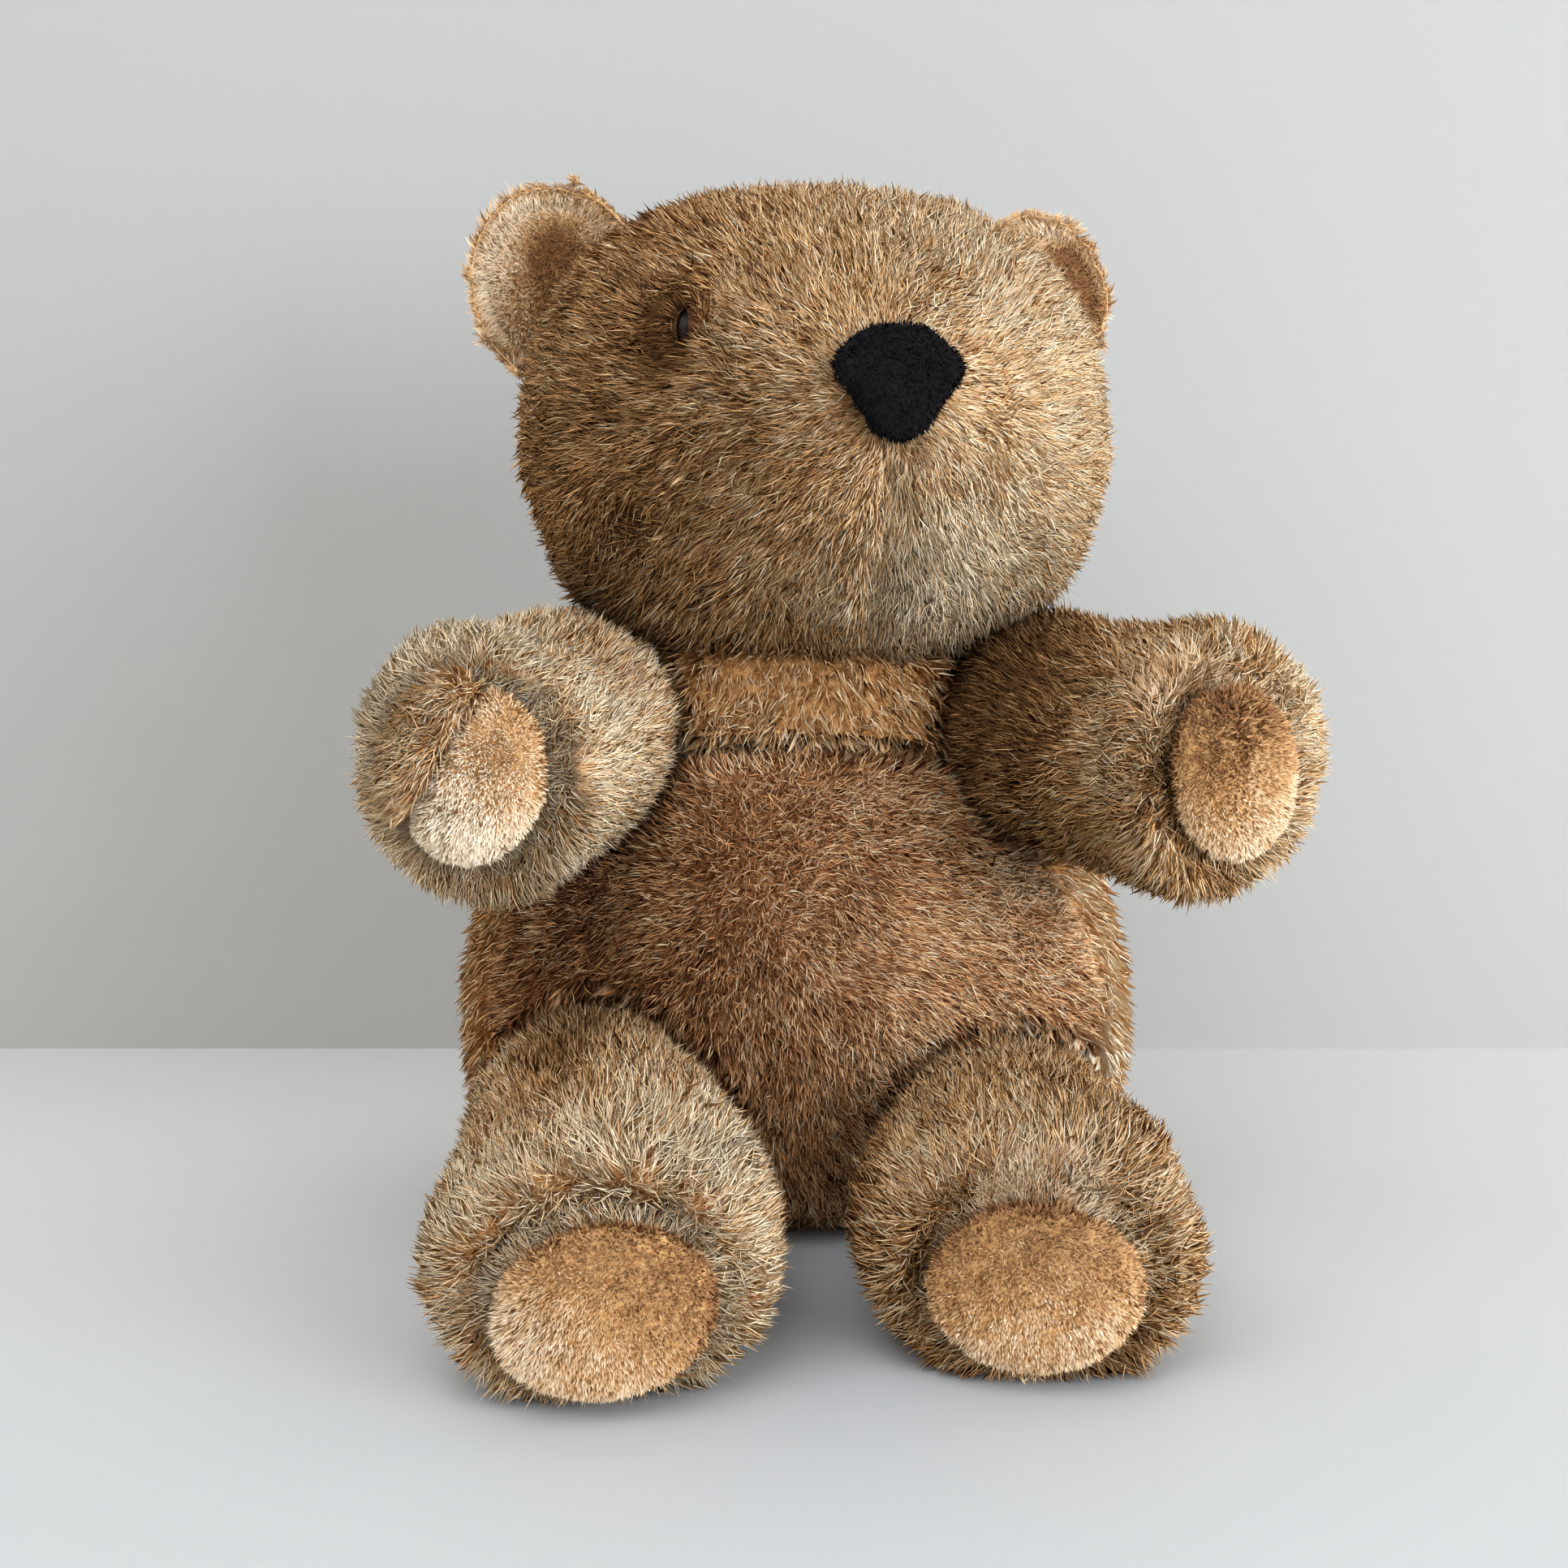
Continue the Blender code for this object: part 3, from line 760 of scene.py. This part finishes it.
def make_torso():
    skin = make_skin("torso", BODY_VOXEL, FUR_INSET, LONG_GROUND, torso_forms)
    surface = Surface("torso", skin)
    front = Coat(torso_comb, 22000, 20000, width=0.00042, tone=torso_tone, weight=torso_front_weight)
    back = Coat(torso_comb, 12000, 18000, width=0.00090, tone=torso_tone, weight=torso_back_weight)
    grow_pile("torso_fur_front", surface, skin, LONG_FUR, front, 201)
    grow_pile("torso_fur_back", surface, skin, LONG_FUR, back, 202)


# Belly: shorter pile that runs outwards from a whorl at its upper right
WHORL = np.array((-0.037, BELLY_LOW[1], 0.148))


def belly_forms(points):
    edge = np.clip((points[:, 2] - BELLY_HIGH[2] + 0.010) / 0.010, 0.0, 1.0)
    return 0.0022 * soft_noise(points, 0.045, 31) - 0.0025 * edge


def belly_comb(points):
    away = points - WHORL
    strength = np.clip(np.linalg.norm(away, axis=1) / 0.050, 0.15, 1.0)[:, None]
    return unit(away) * strength - UP * 0.20


def belly_tone(points):
    height = np.clip((points[:, 2] - BELLY_LOW[2]) / (BELLY_HIGH[2] - BELLY_LOW[2]), 0.0, 1.0)
    aside = np.clip((points[:, 0] - WHORL[0]) / 0.10, -0.4, 1.0)
    # The aside term is painted light and shade: paler towards the side the window lamp lights
    return 0.34 + 0.02 * height + 0.24 * aside + 0.10 * near(points, WHORL + (0.015, 0.0, -0.025), 0.030)


def belly_reach(points):
    return 0.80 + 0.20 * np.clip(np.linalg.norm(points - WHORL, axis=1) / 0.06, 0.0, 1.0)


def make_belly():
    skin = make_skin("belly_panel", BODY_VOXEL, BELLY_INSET, BELLY_GROUND, belly_forms)
    surface = Surface("belly_panel", skin)
    coat = Coat(
        belly_comb, 38000, 31000, length=0.0092, lean=0.66, unrest=0.50, wander=0.70,
        tone=belly_tone, tone_spread=0.32, reach=belly_reach,
    )
    grow_pile("belly_fur_pile", surface, skin, BELLY_FUR, coat, 301)


# Long and short hairs on a limb
ARM_HAIRS = (24000, 17500)
LEG_HAIRS = (27000, 18500)

# Painted shade and length that the pile loses in a crease, for each metre of its depth
CREASE_SHADE = 70.0

# Folds pressed into the limbs: a line, its reach and its depth
CREASES = {
    "leg_right": [
        ([(-0.106, -0.105, 0.068), (-0.098, -0.094, 0.079), (-0.088, -0.085, 0.086)], 0.012, 0.0120),
        ([(-0.104, -0.146, 0.034), (-0.092, -0.148, 0.048), (-0.072, -0.147, 0.056), (-0.050, -0.146, 0.053)],
         0.0060, 0.0070),
    ],
    "leg_left": [
        ([(0.013, -0.100, 0.064), (0.031, -0.108, 0.078), (0.057, -0.100, 0.086), (0.080, -0.098, 0.082)],
         0.010, 0.0085),
        ([(0.026, -0.126, 0.042), (0.022, -0.126, 0.030)], 0.006, 0.0040),
    ],
    "arm_right": [
        ([(-0.104, -0.040, 0.214), (-0.095, -0.069, 0.208), (-0.088, -0.081, 0.192)], 0.008, 0.0045),
    ],
    "arm_left": [
        ([(0.073, -0.062, 0.190), (0.075, -0.073, 0.168), (0.082, -0.070, 0.145)], 0.008, 0.0060),
        ([(0.072, -0.024, 0.206), (0.066, -0.034, 0.190)], 0.009, 0.0040),
    ],
}

# Patches where the limbs' pile is darker, mostly painted shade by the folds and where a limb turns from the
# lamps, on the left upper arm partly darker fur: a place, its reach and how much
SHADE_AND_DARK_FUR_PATCHES = {
    "leg_right": [((-0.098, -0.092, 0.078), 0.014, 0.45), ((-0.090, -0.050, 0.086), 0.032, 0.32)],
    "leg_left": [((0.075, -0.125, 0.060), 0.012, 0.15), ((0.012, -0.100, 0.050), 0.014, 0.20)],
    "arm_left": [((0.056, -0.025, 0.185), 0.042, 0.58)],
    "arm_right": [((-0.083, -0.030, 0.205), 0.020, 0.20)],
}

# Pale ruffled tufts
TUFTS = {
    "arm_left": [((0.083, -0.077, 0.181), 0.011), ((0.082, -0.074, 0.160), 0.010)],
    "leg_left": [((0.016, -0.115, 0.056), 0.008)],
    "leg_right": [
        ((-0.100, -0.140, 0.052), 0.012), ((-0.085, -0.142, 0.063), 0.012), ((-0.062, -0.142, 0.066), 0.010),
        ((-0.040, -0.138, 0.060), 0.012),
    ],
    "arm_right": [((-0.112, -0.070, 0.208), 0.018)],
}


# Limbs: the pile runs from the pads back to the body, and is matted and bleached round the pads
def limb_comb(limb, root):
    pad = PAD[limb]

    def comb(points):
        return unit(points - pad) + 0.6 * unit(root - pad)

    return comb


def pad_ring(limb, points, ring, width):
    """1 on an oval ring round the pad, as many times its size as ring says."""
    low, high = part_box(limb + "_pad")
    off = (points - PAD[limb]) / ((np.array(high) - np.array(low)) / 2)
    from_middle = np.hypot(off[:, 0], off[:, 2])
    in_front = (points[:, 1] < PAD[limb][1] + 0.016).astype(float)
    return np.exp(-((from_middle - ring) / width) ** 2) * in_front


def limb_tone(limb, base, root):
    pad = PAD[limb]
    length = np.linalg.norm(root - pad)

    def tone(points):
        from_pad = np.linalg.norm(points - pad, axis=1) / length
        # Painted shade in the patches, the creases and the seam round the pad
        shade = 0.0
        for place, radius, depth in SHADE_AND_DARK_FUR_PATCHES.get(limb, ()):
            shade = shade + depth * seen_near(points, place, radius)
        for path, radius, press in CREASES.get(limb, ()):
            shade = shade + CREASE_SHADE * press * seen_near_path(points, path, radius * 0.6)
        shade = shade + 0.25 * pad_ring(limb, points, 1.05, 0.07)
        # Paler at the pad, darker towards the body: partly painted shade where the limb meets the body,
        # partly darker fur
        return base + 0.06 * near(points, pad, 0.050) - 0.10 * np.clip(from_pad - 0.3, 0.0, 1.0) - shade

    return tone


def limb_forms(limb, seed):
    def forms(points):
        depth = 0.0024 * soft_noise(points, 0.034, seed) + 0.0012 * soft_noise(points, 0.016, seed + 1)
        depth += 0.0022 * pad_ring(limb, points, 1.35, 0.20) - 0.0022 * pad_ring(limb, points, 1.04, 0.07)
        for path, radius, press in CREASES.get(limb, ()):
            depth -= press * seen_near_path(points, path, radius)
        return depth

    return forms


def limb_reach(limb):
    def reach(points):
        length = even(points)
        for path, radius, press in CREASES.get(limb, ()):
            length -= CREASE_SHADE * press * seen_near_path(points, path, radius * 0.7)
        return np.maximum(length, 0.3)

    return reach


def limb_frizz(limb):
    """Matted pile over the upper rim of the pad, and less of it all round."""
    pad = PAD[limb]

    def frizz(points):
        above = np.clip((points[:, 2] - pad[2]) / 0.020 + 0.4, 0.0, 1.0)
        rim = np.exp(-((np.linalg.norm(points - pad, axis=1) - 0.034) / 0.016) ** 2)
        tufts = sum(seen_near(points, place, radius) for place, radius in TUFTS.get(limb, ()))
        return np.clip(rim * (0.25 + 0.75 * above) + tufts, 0.0, 1.2)

    return frizz


def limb_weight(limb):
    pad = PAD[limb]

    def weight(points, normals):
        facing = 0.45 + 0.55 * np.clip(-normals[:, 1] + 0.3 * normals[:, 2] + 0.2, 0.0, 1.0)
        return facing * (1.0 + 0.6 * near(points, pad, 0.05)) * (1.0 - ruffle(limb, points))

    return weight


# Ruffled plush that spreads past the pad: its middle from the pad's, its width and height, its tone
RUFFLES = {
    "leg_left": (0.004, 0.021, 0.019, 0.012, 0.58),
    "arm_left": (-0.012, 0.020, 0.014, 0.013, 0.50),
}


def ruffle(limb, points):
    """1 where the pad's plush spreads over the limb."""
    if limb not in RUFFLES:
        return never(points)
    across, above, width, height, _ = RUFFLES[limb]
    off = points - PAD[limb] - (across, 0.0, above)
    inside = (off[:, 0] / width) ** 2 + (off[:, 2] / height) ** 2 < 1.0
    return (inside & (off[:, 1] < 0.030)).astype(float)


def grow_ruffle(limb, surface, skin, seed):
    coat = Coat(
        lambda points: unit(points - PAD[limb]), 900, 3000, length=0.0085, width=0.00050, lean=0.75,
        tuft=0.0045, pull=0.35, tone=lambda points: RUFFLES[limb][4] * even(points), tone_spread=0.12,
        weight=lambda points, normals: ruffle(limb, points) * (normals[:, 1] < 0.3),
    )
    grow_pile(limb + "_ruffle", surface, skin, SHORT_PLUSH, coat, seed + 7)


def make_limb(limb, guard, fuzz, base_tone, seed):
    across, _, height = box_middle(limb)
    root = np.array((across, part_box(limb)[1].y, height))
    skin = make_skin(limb, BODY_VOXEL, FUR_INSET, LONG_GROUND, limb_forms(limb, seed))
    surface = Surface(limb, skin)
    coat = Coat(
        limb_comb(limb, root), guard, fuzz, length=0.0098, lean=0.98, wander=0.50, frizz=limb_frizz(limb),
        tone=limb_tone(limb, base_tone, root), reach=limb_reach(limb), weight=limb_weight(limb),
    )
    grow_pile(limb + "_fur", surface, skin, LONG_FUR, coat, seed)
    if limb in RUFFLES:
        grow_ruffle(limb, surface, skin, seed)


def pad_comb(pad):
    def comb(points):
        return 0.5 * unit(points - pad) - UP * 0.5

    return comb


def make_pad(limb, base_tone, pale, ruffled, seed, fold=None):
    """A sheared pad: pale says which way its plush fades, ruffled where it stands in clumps.

    The limb's pile folds over the part that lies further from the middle than fold's length.
    """
    node = limb + "_pad"
    pad = PAD[limb]
    pale = np.array(pale)
    ruffled = pad + np.array(ruffled)

    def past_fold(points):
        if fold is None:
            return np.full(len(points), -1.0)
        return (points - pad) @ unit(np.array(fold)) - np.linalg.norm(fold)

    def forms(points):
        clumps = 0.3 + 0.9 * near(points, ruffled, 0.020)
        past = past_fold(points)
        folded = 0.0030 * np.clip(past / 0.004, 0.0, 1.0) - 0.0030 * np.exp(-(past / 0.0022) ** 2)
        return 0.0007 * clumps * soft_noise(points, 0.0035, seed + 4) + folded

    def tone(points):
        fade = np.clip((points - pad) @ pale / 0.030, -1.0, 1.0)
        # Painted shade in the fold where the limb's pile lies over the pad
        crease = 0.45 * np.exp(-(past_fold(points) / 0.0025) ** 2)
        return base_tone + 0.44 * fade + 0.14 * near(points, ruffled, 0.016) - crease

    def reach(points):
        return 0.85 + 0.9 * near(points, ruffled, 0.014)

    skin = make_skin(node, SMALL_VOXEL, PAD_INSET, PLUSH_GROUND, forms)
    surface = Surface(node, skin)
    coat = Coat(
        pad_comb(pad), 2000, 12000, length=0.0028, width=0.00055, lean=0.40, unrest=0.45,
        wander=0.8, tuft=0.0024, pull=0.22, tone=tone, tone_spread=0.09, reach=reach,
        weight=lambda points, normals: (past_fold(points) < 0.0).astype(float),
    )
    grow_pile(node + "_pile", surface, skin, SHORT_PLUSH, coat, seed)
    if fold is not None:
        over = Coat(
            lambda points: np.tile((-0.7, 0.0, -0.5), (len(points), 1)), 1500, 1500, length=0.0090,
            tone=lambda points: 0.70 * even(points),
            weight=lambda points, normals: (past_fold(points) > 0.001).astype(float),
        )
        grow_pile(node + "_fold_fur", surface, skin, LONG_FUR, over, seed + 2)


# Ears: long fur behind, short golden plush in the dish
def make_ear(name, recess, seed):
    middle = box_middle(name + "_back")
    outward = unit(middle - HEAD)
    back = make_skin(name + "_back", SMALL_VOXEL, EAR_INSET, EAR_GROUND)

    def comb(points):
        return np.tile(outward + 0.3 * UP, (len(points), 1))

    def behind(points, normals):
        return (normals[:, 1] > 0.40).astype(float)

    def before(points, normals):
        return (normals[:, 1] < -0.35).astype(float)

    def on_the_rim(points, normals):
        return ((normals[:, 1] >= -0.45) & (normals[:, 1] < 0.45)).astype(float)

    coat = Coat(
        comb, 2600, 4000, length=0.0058, width=0.00036, lean=1.10, tone=lambda points: 0.42 * even(points),
        weight=behind,
    )
    surface = Surface(name + "_back", back)
    grow_pile(name + "_fur", surface, back, LONG_FUR, coat, seed)
    lining = make_skin(name + "_lining", SMALL_VOXEL, LINING_INSET, PLUSH_GROUND)
    lining_middle = box_middle(name + "_lining")

    def plush_tone(points):
        rim = np.clip((points - lining_middle) @ outward / 0.030, -1.0, 1.0)
        # Painted shade in the recess by the head
        shade = seen_near_path(points, recess, 0.0090)
        return 0.50 + 0.18 * rim - 1.25 * shade

    hem = Coat(
        lambda points: unit(lining_middle - points), 1200, 5000, length=0.0062, width=0.00055,
        lean=0.75, wander=0.5, tuft=0.0030, pull=0.15, tone=plush_tone, tone_spread=0.10, weight=before,
    )
    grow_pile(name + "_hem_plush", surface, back, SHORT_PLUSH, hem, seed + 3)
    rim = Coat(
        lambda points: unit(points - lining_middle), 1200, 6000, length=0.0040, width=0.00045,
        lean=0.75, wander=0.5, tuft=0.0030, pull=0.12, tone=plush_tone, tone_spread=0.10, weight=on_the_rim,
    )
    grow_pile(name + "_rim_plush", surface, back, SHORT_PLUSH, rim, seed + 4)

    plush = Coat(
        lambda points: unit(points - lining_middle) * 0.7 - UP * 0.4, 1500, 7000, length=0.0042,
        width=0.00055, lean=0.60, unrest=0.4, wander=0.6, tuft=0.0030, pull=0.15,
        tone=plush_tone, tone_spread=0.10,
    )
    lining_surface = Surface(name + "_lining", lining)
    grow_pile(name + "_plush", lining_surface, lining, SHORT_PLUSH, plush, seed + 1)


# Nose: black velvet with a crease down its lower half
def nose_forms(points):
    crease = [NOSE + FORWARD * 0.01 - UP * 0.002, NOSE + FORWARD * 0.01 - UP * 0.022]
    across = np.abs((points - NOSE) @ SIDEWAYS)
    above = (points - NOSE) @ UP
    corners = np.exp(-((across - 0.0195) ** 2 + (above - 0.0040) ** 2) / 0.0050**2)
    shoulders = np.exp(-((across - 0.0140) ** 2 + (above - 0.0125) ** 2) / 0.0055**2)
    flanks = np.exp(-((across - 0.0150) ** 2 + (above + 0.0095) ** 2) / 0.0060**2)
    cut = 0.0016 * corners - 0.0012 * shoulders - 0.0005 * flanks
    return cut - 0.0030 * near_path(points, crease, 0.0024) + 0.0005 * soft_noise(points, 0.010, 61)


def make_nose():
    skin = make_skin("nose", NOSE_VOXEL, NOSE_INSET, VELVET_GROUND, nose_forms)
    surface = Surface("nose", skin)
    coat = Coat(
        lambda points: np.tile(-UP, (len(points), 1)), 1500, 7000, length=0.0018, width=0.00045,
        lean=0.5, unrest=0.6, wander=0.8, tuft=0.003, pull=0.3, tone=lambda points: 0.4 * even(points),
        tone_spread=0.2,
    )
    grow_pile("nose_nap", surface, skin, VELVET, coat, 601)


def make_eye():
    """The scuffed bead, rounded from its solid."""
    bead = frame["nodes"]["eye"].copy()
    bead.data = frame["nodes"]["eye"].data.copy()
    bead.name = "eye_draft"
    bpy.context.scene.collection.objects.link(bead)
    weld = bead.modifiers.new("weld", "WELD")
    weld.merge_threshold = 0.0001
    rounder = bead.modifiers.new("rounder", "SUBSURF")
    rounder.levels = 2
    rounder.render_levels = 2
    bpy.context.view_layer.update()
    eye = evaluated_copy(bead, "eye_bead")
    bpy.data.objects.remove(bead)
    material, nodes, links, shader = make_material("eye_bead", BEAD_ROUGHNESS)
    noise = nodes.new("ShaderNodeTexNoise")
    noise.inputs["Scale"].default_value = 260.0
    ramp = add_ramp(nodes, [(0.3, (0.003, 0.002, 0.002)), (0.75, (0.012, 0.008, 0.006))])
    links.new(noise.outputs["Fac"], ramp.inputs["Fac"])
    links.new(ramp.outputs["Color"], shader.inputs["Base Color"])
    shader.inputs["Specular IOR Level"].default_value = BEAD_SHINE
    eye.data.materials.clear()
    eye.data.materials.append(material)
    eye.data.shade_smooth()
    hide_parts("eye")
    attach(eye, "root")


def stage_material(name, colour):
    """White board that throws its light on the bear, toned down where the camera sees it itself."""
    material, nodes, links, shader = make_material(name, 0.6)
    noise = nodes.new("ShaderNodeTexNoise")
    noise.inputs["Scale"].default_value = 3.0
    dim = tuple(part * 0.985 for part in colour)
    ramp = add_ramp(nodes, [(0.3, dim), (0.7, colour)])
    links.new(noise.outputs["Fac"], ramp.inputs["Fac"])
    ray = nodes.new("ShaderNodeLightPath")
    seen = nodes.new("ShaderNodeMath")
    seen.operation = "MAXIMUM"
    links.new(ray.outputs["Is Camera Ray"], seen.inputs[0])
    links.new(ray.outputs["Is Glossy Ray"], seen.inputs[1])
    mix = nodes.new("ShaderNodeMix")
    mix.data_type = "RGBA"
    mix.inputs["A"].default_value = (*BOARD_WHITE, 1.0)
    links.new(seen.outputs["Value"], mix.inputs["Factor"])
    links.new(ramp.outputs["Color"], mix.inputs["B"])
    links.new(mix.outputs["Result"], shader.inputs["Base Color"])
    return material


def show_from_the_front_only(material):
    """The backdrop hides nothing from behind."""
    nodes = material.node_tree.nodes
    links = material.node_tree.links
    facing = nodes.new("ShaderNodeNewGeometry")
    clear = nodes.new("ShaderNodeBsdfTransparent")
    mix = nodes.new("ShaderNodeMixShader")
    links.new(facing.outputs["Backfacing"], mix.inputs["Fac"])
    links.new(nodes["Principled BSDF"].outputs["BSDF"], mix.inputs[1])
    links.new(clear.outputs["BSDF"], mix.inputs[2])
    links.new(mix.outputs["Shader"], nodes["Material Output"].inputs["Surface"])


def make_plane(name, corners, material):
    mesh = bpy.data.meshes.new(name)
    mesh.from_pydata(corners, [], [(0, 1, 2, 3)])
    mesh.materials.append(material)
    plane = bpy.data.objects.new(name, mesh)
    bpy.context.scene.collection.objects.link(plane)


def make_stage():
    left = -STAGE_HALF_WIDTH
    right = STAGE_HALF_WIDTH
    front = FLOOR_FRONT
    back = WALL_BEHIND
    floor = [(left, front, 0.0), (right, front, 0.0), (right, FLOOR_BACK, 0.0), (left, FLOOR_BACK, 0.0)]
    wall = [(left, back, 0.0), (right, back, 0.0), (right, back, WALL_HEIGHT), (left, back, WALL_HEIGHT)]
    make_plane("floor", floor, stage_material("floor", FLOOR_COLOUR))
    board = stage_material("backdrop", WALL_COLOUR)
    show_from_the_front_only(board)
    make_plane("backdrop", wall, board)


def make_lamp(name, place, target, size, energy, colour):
    light = bpy.data.lights.new(name, "AREA")
    light.size = size
    light.energy = energy
    light.color = colour
    lamp = bpy.data.objects.new(name, light)
    bpy.context.scene.collection.objects.link(lamp)
    lamp.location = place
    lamp.rotation_euler = (Vector(target) - Vector(place)).to_track_quat("-Z", "Y").to_euler()


def make_light():
    for name, lamp in LAMPS.items():
        make_lamp(name, *lamp)
    world = bpy.data.worlds.new("room")
    bpy.context.scene.world = world
    world.use_nodes = True
    background = world.node_tree.nodes["Background"]
    background.inputs["Color"].default_value = ROOM_COLOUR
    background.inputs["Strength"].default_value = ROOM_STRENGTH


def make_camera():
    data = bpy.data.cameras.new("camera")
    data.lens = CAMERA_LENS_MM
    data.sensor_width = SENSOR_WIDTH_MM
    data.clip_start = 0.01
    camera = bpy.data.objects.new("camera", data)
    bpy.context.scene.collection.objects.link(camera)
    camera.location = CAMERA_PLACE
    camera.rotation_euler = (math.pi / 2 + CAMERA_PITCH, 0.0, 0.0)
    bpy.context.scene.camera = camera


bpy.context.scene.view_settings.view_transform = "Standard"
make_camera()
make_stage()
make_light()
make_head()
make_torso()
make_belly()
# The bear's right limbs, which the window lamp leaves in shade, get paler tones than its left ones: painted
# light
make_limb("arm_right", *ARM_HAIRS, 0.83, 401)
make_limb("arm_left", *ARM_HAIRS, 0.54, 411)
make_limb("leg_right", *LEG_HAIRS, 0.74, 421)
make_limb("leg_left", *LEG_HAIRS, 0.46, 431)
make_pad("arm_right", 0.74, (-0.8, 0.0, -0.6), (-0.010, -0.010, -0.018), 501, (-0.0098, 0.0, 0.0059))
make_pad("arm_left", 0.34, (0.3, 0.0, -0.95), (0.000, -0.010, 0.022), 511)
make_pad("leg_right", 0.29, (-0.6, 0.0, -0.8), (-0.022, -0.010, -0.002), 521)
make_pad("leg_left", 0.33, (0.0, 0.0, -1.0), (0.002, -0.010, 0.020), 531)
make_ear("ear_right", [(-0.1040, 0.0526, 0.3500), (-0.0985, 0.0526, 0.3330)], 541)
make_ear("ear_left", [(0.0950, 0.0956, 0.3560), (0.1010, 0.0956, 0.3420)], 551)
make_nose()
make_eye()
